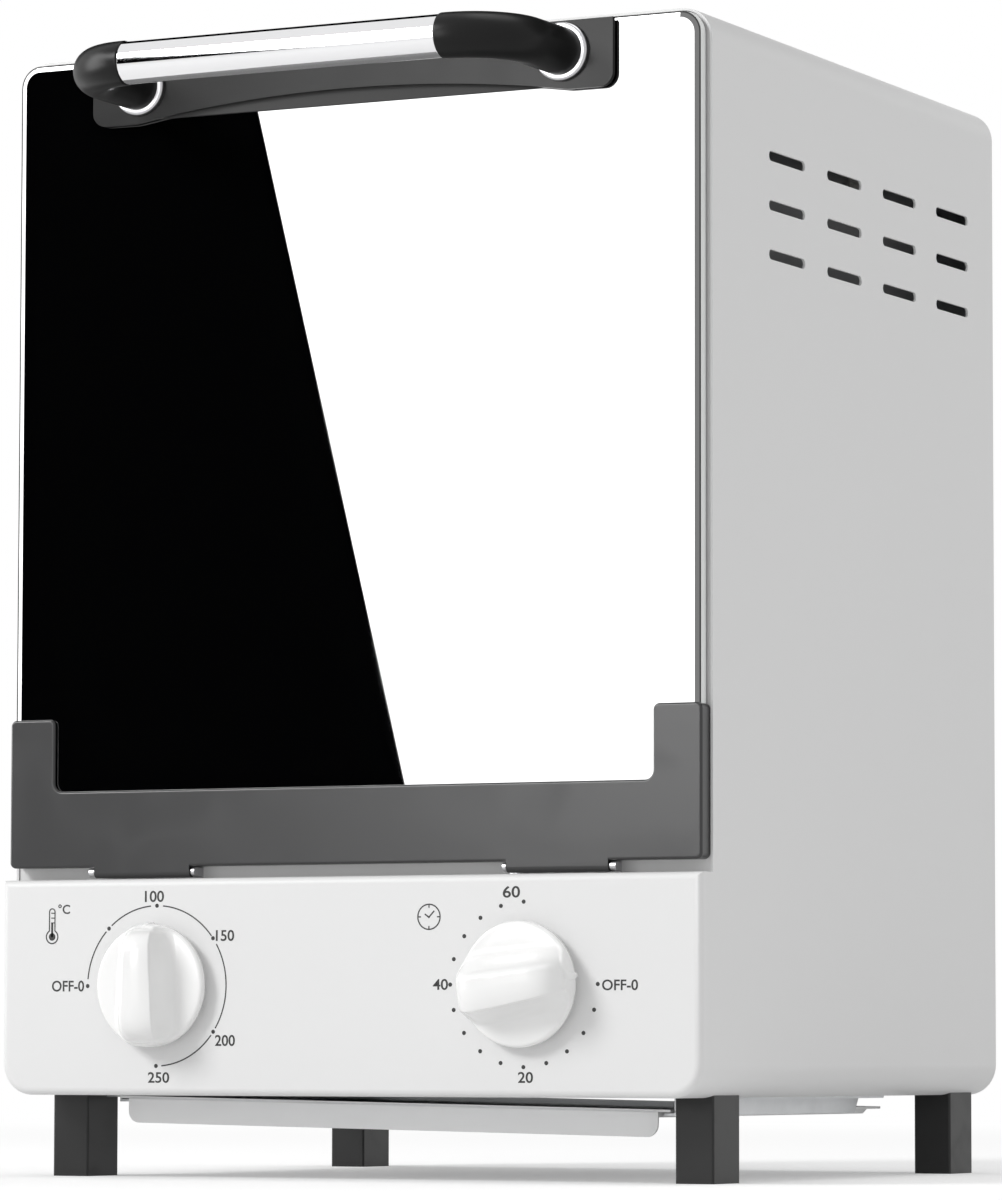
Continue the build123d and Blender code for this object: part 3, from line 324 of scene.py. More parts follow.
def make_fine_bumps():
    """Height of a fine skin: a soft noise mixed with one that is 3.7 times finer."""
    group, given, result = node_group(
        "fine_bumps", [("Vector", "Vector", None), ("Scale", "Float", 400.0), ("Fine share", "Float", 0.4)],
        [("Height", "Float")])
    coarse, fine = new_node(group, "TexNoise"), new_node(group, "TexNoise")
    times = operation_node(group, "Math", "MULTIPLY")
    times.inputs[1].default_value = 3.7
    mix = new_node(group, "Mix")
    wire(group, (given["Vector"], coarse.inputs["Vector"]), (given["Vector"], fine.inputs["Vector"]),
         (given["Scale"], coarse.inputs["Scale"]), (given["Scale"], times.inputs[0]),
         (times.outputs[0], fine.inputs["Scale"]), (given["Fine share"], mix.inputs["Factor"]),
         (coarse.outputs["Fac"], mix.inputs["A"]), (fine.outputs["Fac"], mix.inputs["B"]),
         (mix.outputs["Result"], result["Height"]))
    return group


def make_brushed_grain():
    """Long fine scratches: noise on coordinates that are stretched along the grain."""
    group, given, result = node_group(
        "brushed_grain", [("Vector", "Vector", None), ("Stretch", "Vector", (20.0, 2000.0, 2000.0)),
                          ("Smooth", "Float", 0.25), ("Rough", "Float", 0.4)],
        [("Roughness", "Float"), ("Height", "Float")])
    times = operation_node(group, "VectorMath", "MULTIPLY")
    noise = new_node(group, "TexNoise", Scale=1.0, Detail=3.0)
    mix = new_node(group, "Mix")
    wire(group, (given["Vector"], times.inputs[0]), (given["Stretch"], times.inputs[1]),
         (times.outputs[0], noise.inputs["Vector"]), (noise.outputs["Fac"], mix.inputs["Factor"]),
         (given["Smooth"], mix.inputs["A"]), (given["Rough"], mix.inputs["B"]),
         (mix.outputs["Result"], result["Roughness"]), (noise.outputs["Fac"], result["Height"]))
    return group


def make_hand_smudges():
    """Roughness of a polished face: mostly clear, with faint wiped patches."""
    group, given, result = node_group(
        "hand_smudges", [("Vector", "Vector", None), ("Clear", "Float", 0.05), ("Wiped", "Float", 0.12),
                         ("Scale", "Float", 25.0)], [("Roughness", "Float")])
    noise = new_node(group, "TexNoise", Detail=5.0, Distortion=1.2)
    ramp = new_node(group, "MapRange", From_Min=0.45, From_Max=0.75)
    wire(group, (given["Vector"], noise.inputs["Vector"]), (given["Scale"], noise.inputs["Scale"]),
         (noise.outputs["Fac"], ramp.inputs["Value"]), (given["Clear"], ramp.inputs["To Min"]),
         (given["Wiped"], ramp.inputs["To Max"]), (ramp.outputs["Result"], result["Roughness"]))
    return group


GROUP_MAKERS = {"tone_drift": make_tone_drift, "fine_bumps": make_fine_bumps,
                "brushed_grain": make_brushed_grain, "hand_smudges": make_hand_smudges}


class Finish:
    """A material under construction: its tree, shader and object coordinates."""

    def __init__(self, name):
        self.material = bpy.data.materials.new(name)
        self.material.use_nodes = True
        self.tree = self.material.node_tree
        self.shader = self.tree.nodes["Principled BSDF"]
        self.place = new_node(self.tree, "TexCoord").outputs

    def set(self, **values):
        fill(self.shader, values)
        return self

    def group(self, name, **values):
        node = new_node(self.tree, "Group")
        node.node_tree = bpy.data.node_groups.get(name) or GROUP_MAKERS[name]()
        wire(self.tree, (self.place["Object"], node.inputs["Vector"]))
        return fill(node, values).outputs

    def tone(self, colour, spread, scale):
        dark = [c * (1 - spread) for c in colour] + [1.0]
        light = [min(1.0, c * (1 + spread)) for c in colour] + [1.0]
        drift = self.group("tone_drift", Dark=dark, Light=light, Scale=scale)
        wire(self.tree, (drift["Color"], self.shader.inputs["Base Color"]))
        return self

    def bump(self, height, strength, distance):
        node = new_node(self.tree, "Bump", Strength=strength, Distance=distance)
        wire(self.tree, (height, node.inputs["Height"]),
             (node.outputs["Normal"], self.shader.inputs["Normal"]))
        return self

    def skin(self, scale, strength, distance):
        """A fine uneven skin, its depth in millimetres."""
        bumps = self.group("fine_bumps", Scale=scale, Fine_share=0.4)
        return self.bump(bumps["Height"], strength, distance * MM)

    def grain(self, stretch, smooth, rough, strength):
        grain = self.group("brushed_grain", Stretch=stretch, Smooth=smooth, Rough=rough)
        wire(self.tree, (grain["Roughness"], self.shader.inputs["Roughness"]))
        return self.bump(grain["Height"], strength, 0.01 * MM)

    def smudges(self, clear, wiped, scale):
        marks = self.group("hand_smudges", Clear=clear, Wiped=wiped, Scale=scale)
        wire(self.tree, (marks["Roughness"], self.shader.inputs["Roughness"]))
        return self


def enamel():
    finish = Finish("white_enamel").tone(colours().enamel, 0.012, 6.0)
    return finish.set(Roughness=0.42, Specular_IOR_Level=0.35).skin(900.0, 0.12, 0.01)


def zinc():
    finish = Finish("zinc_sheet").tone(colours().zinc, 0.10, 90.0).set(Metallic=0.85)
    return finish.smudges(0.38, 0.5, 60.0).skin(300.0, 0.1, 0.01)


def chamber_sheet():
    finish = Finish("aluminised_sheet").tone(colours().liner, 0.06, 40.0).set(Metallic=0.9)
    return finish.grain((900.0, 30.0, 900.0), 0.34, 0.48, 0.08)


def heater_sheath():
    finish = Finish("heater_sheath").tone(colours().sheath, 0.25, 35.0).set(Metallic=0.7, Roughness=0.5)
    return finish.skin(1500.0, 0.25, 0.02)


def ceramic():
    finish = Finish("glazed_ceramic").tone(colours().ceramic, 0.03, 60.0)
    return finish.set(Roughness=0.3, Coat_Weight=0.3).skin(500.0, 0.1, 0.02)


def steel():
    finish = Finish("steel").tone(colours().steel, 0.05, 30.0).set(Metallic=1.0)
    return finish.grain((60.0, 1500.0, 1500.0), 0.24, 0.36, 0.08)


def chrome():
    finish = Finish("bright_chrome").tone(colours().chrome, 0.02, 20.0).set(Metallic=1.0)
    return finish.smudges(0.045, 0.09, 30.0).skin(700.0, 0.02, 0.005)


def copper():
    finish = Finish("copper_tube").tone(colours().copper, 0.12, 50.0).set(Metallic=1.0)
    return finish.smudges(0.25, 0.4, 80.0).skin(900.0, 0.08, 0.01)


def brass():
    finish = Finish("turned_brass").tone(colours().brass, 0.05, 50.0).set(Metallic=1.0)
    return finish.grain((40.0, 3000.0, 40.0), 0.2, 0.32, 0.1)


def knob_plastic():
    finish = Finish("white_moulding").tone(colours().knob, 0.01, 15.0).smudges(0.20, 0.28, 40.0)
    return finish.set(Coat_Weight=0.25, Coat_Roughness=0.12).skin(1400.0, 0.04, 0.01)


def dark_glass():
    """Black mirror glass. Where the surface faces sideways or up it is the pale ground edge of the pane."""
    finish = Finish("dark_mirror_glass").set(IOR=2.0, Specular_IOR_Level=0.9)
    tree, shader = finish.tree, finish.shader
    facing = new_node(tree, "SeparateXYZ")
    front = operation_node(tree, "Math", "ABSOLUTE")
    edge = operation_node(tree, "Math", "LESS_THAN")
    edge.inputs[1].default_value = 0.3
    dark = [c * 0.9 for c in colours().glass] + [1.0]
    drift = finish.group("tone_drift", Dark=dark, Light=[*colours().glass, 1.0], Scale=4.0)
    tint = colour_mix(tree)
    tint.inputs["B"].default_value = (0.9, 0.92, 0.91, 1.0)
    marks = finish.group("hand_smudges", Clear=0.004, Wiped=0.012, Scale=8.0)
    matt = new_node(tree, "Mix", B=0.5)
    wire(tree, (finish.place["Normal"], facing.inputs[0]), (facing.outputs["Y"], front.inputs[0]),
         (front.outputs[0], edge.inputs[0]), (edge.outputs[0], tint.inputs["Factor"]),
         (drift["Color"], tint.inputs["A"]), (tint.outputs["Result"], shader.inputs["Base Color"]),
         (edge.outputs[0], matt.inputs["Factor"]), (marks["Roughness"], matt.inputs["A"]),
         (matt.outputs["Result"], shader.inputs["Roughness"]))
    return finish


def trim_enamel():
    finish = Finish("grey_trim_enamel").tone(colours().trim, 0.05, 10.0).set(Specular_IOR_Level=0.5)
    return finish.smudges(0.28, 0.34, 30.0).skin(1200.0, 0.15, 0.01)


def black_gloss():
    finish = Finish("black_gloss_enamel").tone(colours().black, 0.1, 12.0).set(Specular_IOR_Level=0.22)
    return finish.smudges(0.22, 0.3, 20.0).skin(800.0, 0.03, 0.01)


def black_moulding():
    finish = Finish("black_moulding").tone(colours().black, 0.15, 25.0).set(Specular_IOR_Level=0.15)
    return finish.smudges(0.30, 0.40, 45.0).skin(1600.0, 0.2, 0.02)


def silicone():
    finish = Finish("black_silicone").tone(colours().rubber, 0.1, 60.0).set(Roughness=0.65)
    return finish.skin(900.0, 0.2, 0.02)


def foot_moulding():
    finish = Finish("foot_moulding").tone(colours().foot, 0.12, 30.0).set(Specular_IOR_Level=0.3)
    return finish.smudges(0.36, 0.46, 60.0).skin(1500.0, 0.3, 0.02)


def tray_aluminium():
    finish = Finish("satin_aluminium").tone(colours().pan, 0.04, 18.0).set(Metallic=0.15)
    return finish.grain((25.0, 1300.0, 1300.0), 0.36, 0.5, 0.15)


def dial_ink():
    finish = Finish("dial_ink").tone(colours().ink, 0.1, 200.0).set(Roughness=0.5)
    return finish.skin(4000.0, 0.1, 0.01)


FINISHES = {}


def finish_of(maker):
    """The material of a maker, made the first time it is asked for."""
    if maker not in FINISHES:
        FINISHES[maker] = maker().material
    return FINISHES[maker]


# Knobs

def knob_points(turn):
    """A knob about its own middle, as rings from the middle of its face to the middle of its back.
    Over the face the height is the dished face plus the fin: the fin's crest follows a long arch along its
    length, (1 - |v / half length| to the 5th) to the power 0.45. Across its width one flank falls from a
    crisp edge as (1 - share of the way to its foot) to the power 2.4, and the other as half a cosine wave.
    The rim is a quarter round over an undercut, and a narrow swelling of it at the nose is the pointer.
    The nose points along the turn."""
    s = sizes()
    rim, radius = s.knob_rim, s.knob_radius
    back, rim_round, rim_wall = 1.2 * MM, 1.3 * MM, 0.9 * MM
    fin_drop, dish_rise, dish_wave, crown_drop = 1.6 * MM, 1.0 * MM, 0.5 * MM, 1.5 * MM
    end_taper, soft_start, soft_widening = 0.35, 0.35, 0.75
    pointer_rise, pointer_half, crowding = 0.65 * MM, 1.0 * MM, 0.33
    top = -(KNOB_LOW[1] - PANEL_FACE) - fin_drop
    inner = radius - rim_round
    phi = full_turn(s.knob_rays)
    angle = phi - crowding * np.sin(2 * phi)
    sine, cosine = np.sin(angle), np.cos(angle)

    def ring(r, h):
        """A circle of points at a distance r from the axis and a height h over the panel."""
        return np.stack([r * sine, r * cosine, h + 0 * angle], axis=-1)

    r = (inner * np.linspace(0.004, 1.0, s.knob_rings))[:, None]
    u, v = r * sine, r * cosine
    dish = rim + dish_rise * (1 - (r / inner) ** 2) - dish_wave * np.sin(np.pi * (r / inner)) ** 2
    along = np.clip(np.abs(v) / s.fin_half_length, 0, 1)
    crest = (1 - along ** 5) ** 0.45
    blend = (v / s.fin_half_length + 1) / 2
    half = s.fin_tail_half + (s.fin_nose_half - s.fin_tail_half) * blend
    half = half * (1 - end_taper * along ** 6)
    reach = np.abs(u)
    crisp = np.clip((reach - half) / s.fin_foot, 0, 1)
    soft = np.clip((reach - soft_start * half) / (s.fin_foot + soft_widening * half), 0, 1)
    fall = np.where(u > 0, (1 - crisp) ** 2.4, 0.5 + 0.5 * np.cos(np.pi * soft))
    crown = crown_drop * np.clip(reach / half, 0, 1) ** 2 * (u > 0)
    height = dish + (top - dish - crown) * crest * fall
    off_nose = np.abs((angle + np.pi) % (2 * np.pi) - np.pi) * radius
    nub = pointer_rise * np.exp(-(off_nose / pointer_half) ** 4)
    quarter = [ring(inner + (rim_round + nub) * np.sin(a),
                    rim - rim_round + (height[-1] - rim + rim_round) * np.cos(a))
               for a in np.linspace(0, np.pi / 2, 7)[1:]]
    under = rim - rim_round - rim_wall
    side = [ring(radius + nub, under), ring(radius - 0.3 * MM, under - 0.2 * MM),
            ring(radius - 2.6 * MM, under - 0.3 * MM), ring(radius - 2.8 * MM, back), ring(0.02 * MM, back)]
    rings = np.concatenate([np.stack([u, v, height], axis=-1), np.stack(quarter + side)])
    across = rings[..., 0] * math.cos(turn) + rings[..., 1] * math.sin(turn)
    up = -rings[..., 0] * math.sin(turn) + rings[..., 1] * math.cos(turn)
    return np.stack([across, -rings[..., 2], up], axis=-1)


class SterilizerKnobs(bpy.types.Operator):
    """Makes the two white knobs with their fins"""
    bl_idname = "sterilizer.knobs"
    bl_label = "Knobs"

    def execute(self, context):
        for node, body, turn in (("temperature_knob", "temperature_control", 0.0),
                                 ("timer_knob", "timer_control", sizes().timer_rest_turn)):
            shaft_low, shaft_high = (np.array(c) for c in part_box(node.replace("knob", "shaft")))
            middle = (shaft_low + shaft_high) / 2
            middle[1] = PANEL_FACE
            knob = capped_rings(node + "_shape", knob_points(turn) + middle, finish_of(knob_plastic))
            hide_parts(node)
            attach(knob, body)
            dress(node.replace("knob", "shaft"), brass)
        return {"FINISHED"}


# Handle

def elbow_rings(side):
    """An elbow as circles along its middle line: a quarter circle from the grip's end, then straight back to
    the door. The circle's radius grows evenly from the grip to the door, and its start is rounded off."""
    s = sizes()
    _, grip_y, z = (GRIP_LOW + GRIP_HIGH) / 2
    start_x, root_y, bend = GRIP_HIGH[0], FERRULE_LOW[1], s.elbow_bend
    turn = np.linspace(0, np.pi / 2, 40)
    arc = np.stack([start_x + bend * np.sin(turn), grip_y + bend * (1 - np.cos(turn)), z + 0 * turn], -1)
    arc_way = np.stack([np.cos(turn), np.sin(turn), 0 * turn], -1)
    back = np.linspace(grip_y + bend, root_y, 14)[1:]
    post = np.stack([start_x + bend + 0 * back, back, z + 0 * back], -1)
    post_way = np.tile([0.0, 1.0, 0.0], (len(back), 1))
    path = np.concatenate([arc, post])
    way = np.concatenate([arc_way, post_way])
    length = np.concatenate([[0], np.cumsum(np.linalg.norm(np.diff(path, axis=0), axis=1))])
    radius = s.elbow_start + (s.elbow_root - s.elbow_start) * length / length[-1]
    lip = 0.5 * MM
    round_off = np.linspace(0, np.pi / 2, 5)
    first = path[0] + way[0] * lip * (1 - np.cos(round_off))[:, None]
    shrink = s.elbow_start - lip * (1 - np.sin(round_off))
    keep = length > lip
    path = np.concatenate([first, path[keep]])
    way = np.concatenate([np.tile(way[0], (len(round_off), 1)), way[keep]])
    radius = np.concatenate([shrink, radius[keep]])
    up = np.array([0.0, 0.0, 1.0])
    side_way = np.cross(way, up)
    angle = full_turn(72)
    rings = path[:, None] + radius[:, None, None] * (
        np.cos(angle)[None, :, None] * side_way[:, None] + np.sin(angle)[None, :, None] * up)
    return rings * [side, 1.0, 1.0]


class SterilizerHandle(bpy.types.Operator):
    """Makes the chromed grip, the black elbows, the ferrules and the plate behind them"""
    bl_idname = "sterilizer.handle"
    bl_label = "Door handle"

    def execute(self, context):
        middle = (GRIP_LOW + GRIP_HIGH) / 2
        radius = (GRIP_HIGH[2] - GRIP_LOW[2]) / 2
        half = GRIP_HIGH[0]
        wall, soft = 1.2 * MM, 0.2 * MM
        profile = [(radius - wall, -half), (radius - soft, -half), (radius, -half + soft), (radius, 0),
                   (radius, half - soft), (radius - soft, half), (radius - wall, half)]
        grip = turned("grip_tube", profile, middle, (1, 0, 0), 128, finish_of(chrome))
        sharpen(grip, 40.0)
        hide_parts("handle_grip")
        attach(grip, "door")
        grip.visible_glossy = False
        for side, node in ((1, "handle_elbow_right"), (-1, "handle_elbow_left")):
            elbow = capped_rings(node + "_shape", elbow_rings(side), finish_of(black_moulding), side > 0)
            sharpen(elbow, 50.0)
            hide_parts(node)
            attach(elbow, "door")
            elbow.visible_glossy = False
        dress("handle_ferrules", steel, angle=40.0)
        dress("handle_plate", black_gloss, 0.3 * MM)
        dress("handle_pad", silicone)
        return {"FINISHED"}


# Dial print, in millimetres, with a dial's middle as (x, z) and lettering as (text, left, right, low, high)

TEMPERATURE_DIAL = (-68.4, 62.7)
TEMPERATURE_STOPS = (270, 316, 360, 414, 485, 540)
LINE_GAPS = ((5, 3), (3, 5), (5, 2), (5, 3), (3, 4.5))
TEMPERATURE_TEXT = (("100", -73.0, -65.8, 90.0, 93.7), ("150", -46.2, -39.4, 77.1, 80.7),
                    ("200", -46.3, -38.9, 43.1, 46.7), ("250", -71.4, -63.4, 31.1, 34.6),
                    ("OFF-0", -108.2, -95.9, 60.9, 64.5), ("°C", -106.0, -101.5, 86.4, 89.6))
TIMER_DIAL = (65.7, 62.7)
TIMER_STOPS = range(90, 361, 18)
TIMER_TEXT = (("60", 58.3, 64.4, 90.1, 93.8), ("40", 33.4, 38.8, 61.0, 64.5),
              ("20", 63.8, 69.1, 31.6, 35.1), ("OFF-0", 93.3, 105.8, 60.7, 64.1))
LINE, STROKE = 0.42, 0.4


def flat_ring(radius, width, start, end, steps=90):
    """Points and quads of a band along a circle from one clockwise angle to another, 0 being straight up."""
    angle = np.radians(np.linspace(start, end, steps))
    way = np.stack([np.sin(angle), np.cos(angle)], -1)
    points = np.concatenate([way * (radius - width / 2), way * (radius + width / 2)])
    n = np.arange(steps - 1)
    return points, np.stack([n, n + steps, n + steps + 1, n + 1], -1)


def flat_disc(x, z, radius, steps=28):
    """Points and triangles of a filled circle."""
    angle = full_turn(steps)
    rim = np.stack([x + radius * np.sin(angle), z + radius * np.cos(angle)], -1)
    points = np.concatenate([[[x, z]], rim])
    n = np.arange(steps)
    return points, np.stack([np.zeros(steps, int), n + 1, (n + 1) % steps + 1], -1)


def flat_bar(x0, z0, x1, z1, width):
    """Points and one quad of a straight stroke."""
    a, b = np.array([x0, z0]), np.array([x1, z1])
    way = (b - a) / np.linalg.norm(b - a)
    side = np.array([-way[1], way[0]]) * width / 2
    return np.stack([a - side, a + side, b + side, b - side]), np.array([[0, 1, 2, 3]])


def flat_text(words, x0, x1, z0, z1):
    """Points and faces of plain lettering, stretched to fill a box."""
    curve = bpy.data.curves.new("lettering", "FONT")
    curve.body = words
    curve.size = 1.0
    curve.resolution_u = 6
    curve.offset = 0.014
    holder = bpy.data.objects.new("lettering", curve)
    bpy.context.scene.collection.objects.link(holder)
    bpy.context.view_layer.update()
    mesh = bpy.data.meshes.new_from_object(holder.evaluated_get(bpy.context.evaluated_depsgraph_get()))
    co = np.empty(len(mesh.vertices) * 3)
    mesh.vertices.foreach_get("co", co)
    co = co.reshape(-1, 3)[:, :2]
    faces = [list(p.vertices) for p in mesh.polygons]
    bpy.data.objects.remove(holder)
    bpy.data.curves.remove(curve)
    bpy.data.meshes.remove(mesh)
    low, high = co.min(axis=0), co.max(axis=0)
    return np.array([x0, z0]) + (co - low) / (high - low) * np.array([x1 - x0, z1 - z0]), faces


def printed(name, marks, body):
    """One thin raised layer of ink on the panel's face, from flat marks in millimetres."""
    points, faces, start = [], [], 0
    lift = sizes().print_thickness
    for flat, corners in marks:
        flat = np.asarray(flat) * MM
        front = np.stack([flat[:, 0], np.full(len(flat), PANEL_FACE - lift), flat[:, 1]], -1)
        back = front + np.array([0.0, lift * 0.8, 0.0])
        for corner in corners:
            corner = [int(c) for c in corner]
            a, b, c = (flat[i] for i in corner[:3])
            if (b[0] - a[0]) * (c[1] - a[1]) - (b[1] - a[1]) * (c[0] - a[0]) < 0:
                corner = corner[::-1]
            faces.append([start + i for i in corner])
            faces.append([start + len(flat) + i for i in corner[::-1]])
        points += [front, back]
        start += 2 * len(flat)
    layer = mesh_object(name, np.concatenate(points), faces, finish_of(dial_ink), smooth=False)
    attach(layer, body)


def moved(mark, x, z):
    """A flat mark shifted sideways by x and upwards by z."""
    points, faces = mark
    return points + [x, z], faces


def dial_dots(x, z, angles):
    """Dots at the dial's radius from its centre, at angles in degrees clockwise from straight up."""
    radius = sizes().dial_radius / MM
    return [flat_disc(x + radius * math.sin(math.radians(a)), z + radius * math.cos(math.radians(a)),
                      sizes().dial_dot / MM) for a in angles]


def thermometer_icon(x, z):
    """A bulb in a ring, a tube with a rounded top, a column and three graduations."""
    half, foot, top = 1.05, 1.9, 8.2
    marks = [flat_disc(x, z, 1.25), moved(flat_ring(2.2, LINE, 28, 332, 40), x, z)]
    marks += [flat_bar(x + side, z + foot, x + side, z + top, STROKE) for side in (-half, half)]
    marks.append(moved(flat_ring(half, STROKE, -90, 90, 20), x, z + top))
    marks.append(flat_bar(x, z, x, z + 4.6, 0.75))
    return marks + [flat_bar(x - 0.4, z + rise, x + 1.0, z + rise, 0.32) for rise in (4.6, 6.2, 7.8)]


def clock_icon(x, z):
    """A ring with four ticks and two hands."""
    marks = [moved(flat_ring(4.0, LINE, 0, 360, 60), x, z)]
    for a in np.radians(range(0, 360, 90)):
        sine, cosine = math.sin(a), math.cos(a)
        marks.append(flat_bar(x + 2.9 * sine, z + 2.9 * cosine, x + 3.8 * sine, z + 3.8 * cosine, STROKE))
    return marks + [flat_bar(x - 0.2, z - 0.3, x + 1.9, z + 1.9, 0.45),
                    flat_bar(x + 0.2, z - 0.3, x - 1.5, z + 0.9, 0.45)]


class SterilizerDialPrint(bpy.types.Operator):
    """Prints the dials' lines, dots and numbers on the control panel"""
    bl_idname = "sterilizer.dial_print"
    bl_label = "Dial print"

    def execute(self, context):
        marks = dial_dots(*TEMPERATURE_DIAL, TEMPERATURE_STOPS)
        for a, b, (before, after) in zip(TEMPERATURE_STOPS[:-1], TEMPERATURE_STOPS[1:], LINE_GAPS):
            line = flat_ring(sizes().dial_radius / MM, sizes().dial_line / MM, a + before, b - after)
            marks.append(moved(line, *TEMPERATURE_DIAL))
        marks += [flat_text(*text) for text in TEMPERATURE_TEXT] + thermometer_icon(-108.3, 78.9)
        printed("temperature_dial_print", marks, "case")
        marks = dial_dots(*TIMER_DIAL, TIMER_STOPS)
        marks += [flat_text(*text) for text in TIMER_TEXT] + clock_icon(31.9, 84.3)
        printed("timer_dial_print", marks, "case")
        return {"FINISHED"}


# Solids of the frame

class SterilizerCase(bpy.types.Operator):
    """Finishes the enamelled case, control panel and front frame"""
    bl_idname = "sterilizer.case"
    bl_label = "Case"

    def execute(self, context):
        for node in ("case_wrap", "control_panel", "front_frame"):
            dress(node, enamel)
        for node in ("back_panel", "bottom_plate", "control_bracket"):
            dress(node, zinc, sizes().edge_round)
        return {"FINISHED"}


class SterilizerChamber(bpy.types.Operator):
    """Finishes the chamber, its heating tubes, rack and instrument tray"""
    bl_idname = "sterilizer.chamber"
    bl_label = "Chamber"

    def execute(self, context):
        dress("chamber_liner", chamber_sheet, sizes().edge_round)
        dress("heat_shield", chamber_sheet)
        for node in ("heater_low_front", "heater_low_rear", "heater_high_front", "heater_high_rear"):
            dress(node, heater_sheath)
        dress("heater_bushes", ceramic)
        dress("wire_rack", chrome, angle=50.0)
        dress("instrument_tray", steel, sizes().edge_round)
        dress("thermostat_bulb", copper, angle=50.0)
        dress("bulb_clips", steel)
        return {"FINISHED"}


class SterilizerControls(bpy.types.Operator):
    """Finishes the thermostat, timer, bell and mains entry"""
    bl_idname = "sterilizer.controls"
    bl_label = "Controls and mains entry"

    def execute(self, context):
        dress("thermostat", steel)
        dress("timer", steel)
        dress("timer_bell", chrome, angle=50.0)
        dress("terminal_block", ceramic)
        dress("cord_gland", foot_moulding)
        return {"FINISHED"}


def gap_shadow_strip_rings(low_z):
    """A black strip painted along the pane's edge as the shadow line of the gap round the door: a flat section
    of four corners carried up the left side, round the two quarter circles of the top corners and down the
    right side, half a millimetre wide on the bevel."""
    radius, width, skin = 7.2 * MM, 0.5 * MM, 0.04 * MM
    bevel_rise, bevel_width = 0.5 * MM, 2.0 * MM
    half, top = GLASS_HIGH[0], GLASS_HIGH[2]
    turn = np.linspace(0, np.pi / 2, 12)
    flip = np.array([-1.0, 1.0])
    inward = np.stack([np.cos(turn), -np.sin(turn)], axis=-1)
    path = np.concatenate([[[-half, low_z]], [-half + radius, top - radius] - radius * inward])
    inward = np.concatenate([[[1.0, 0.0]], inward])
    path = np.concatenate([path, (path * flip)[::-1]])
    inward = np.concatenate([inward, (inward * flip)[::-1]])
    outer_y = GLASS_LOW[1] + bevel_rise
    inner_y = outer_y - bevel_rise * width / bevel_width
    rings = []
    for step, y in ((0.0, outer_y - skin), (width, inner_y - skin), (width, inner_y), (0.0, outer_y)):
        flat = path + inward * step
        rings.append(np.stack([flat[:, 0], np.full(len(flat), y), flat[:, 1]], axis=-1))
    return np.stack(rings, axis=1)


class SterilizerDoor(bpy.types.Operator):
    """Finishes the door's glass, trim, hinges and check arms"""
    bl_idname = "sterilizer.door"
    bl_label = "Door"

    def execute(self, context):
        dress("door_glass", dark_glass, angle=8.0)
        # Painted shadow: a thin black strip in the silicone material on the pane's bevel stands for the dark
        # shadow line of the gap round the door
        rings = gap_shadow_strip_rings(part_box("door_trim")[1][2])
        shadow_strip = capped_rings("glass_gap_shadow_strip", rings, finish_of(silicone))
        sharpen(shadow_strip, 30.0)
        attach(shadow_strip, "door")
        dress("door_trim", trim_enamel, 0.15 * MM)
        dress("glass_bed", silicone)
        for node in ("hinge_bracket_left", "hinge_bracket_right", "hinge_pins", "door_arm_left",
                     "door_arm_right"):
            dress(node, steel)
        return {"FINISHED"}


def rail_points(side):
    """A tray rail: its section, a foot flange, a leg and a toe under the tray's rim, carried straight back
    behind the tray's lip. The rear end leans back by a share of the height."""
    low, high = (np.array(c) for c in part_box("tray_guides"))
    sheet, toe, foot, droop = 0.8 * MM, 3.9 * MM, 9.2 * MM, 3.5 * MM
    behind_lip, rear_lean = 3.0 * MM, 4.0 * MM
    leg = high[0] - foot - sheet
    top = high[2]
    bottom = low[2] if side > 0 else low[2] + droop
    section = np.array([[leg - toe, bottom], [leg + sheet, bottom], [leg + sheet, top - sheet],
                        [leg + sheet + foot, top - sheet], [leg + sheet + foot, top], [leg, top],
                        [leg, bottom + sheet], [leg - toe, bottom + sheet]])
    front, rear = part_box("pull_out_tray")[0][1] + behind_lip, high[1]
    lean = (section[:, 1] - section[:, 1].min()) / (top - bottom) * rear_lean
    return np.stack([np.stack([section[:, 0] * side, y, section[:, 1]], axis=-1)
                     for y in (front + 0 * lean, rear - rear_lean + lean)])


class SterilizerTray(bpy.types.Operator):
    """Finishes the pull out tray under the case and makes its two rails"""
    bl_idname = "sterilizer.tray"
    bl_label = "Pull out tray"

    def execute(self, context):
        dress("pull_out_tray", tray_aluminium, sizes().edge_round)
        corners = [[0, 1, 6, 7], [1, 2, 5, 6], [2, 3, 4, 5]]
        around = 8
        points, faces = [], []
        for number, side in enumerate((1, -1)):
            rings = rail_points(side)
            start = 2 * around * number
            points.append(rings.reshape(-1, 3))
            ends = [c[::-1] for c in corners] + [[i + around for i in c] for c in corners]
            shell = ring_quads(2, around).tolist() + ends
            faces += [[start + i for i in (f if side < 0 else f[::-1])] for f in shell]
        rails = mesh_object("tray_rails", np.concatenate(points), faces, finish_of(zinc), smooth=False)
        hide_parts("tray_guides")
        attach(rails, "case")
        return {"FINISHED"}


class SterilizerFeet(bpy.types.Operator):
    """Finishes the feet"""
    bl_idname = "sterilizer.feet"
    bl_label = "Feet"

    def execute(self, context):
        for node in ("foot_front_left", "foot_front_right", "foot_rear_left", "foot_rear_right"):
            dress(node, foot_moulding, 0.25 * MM)
        return {"FINISHED"}


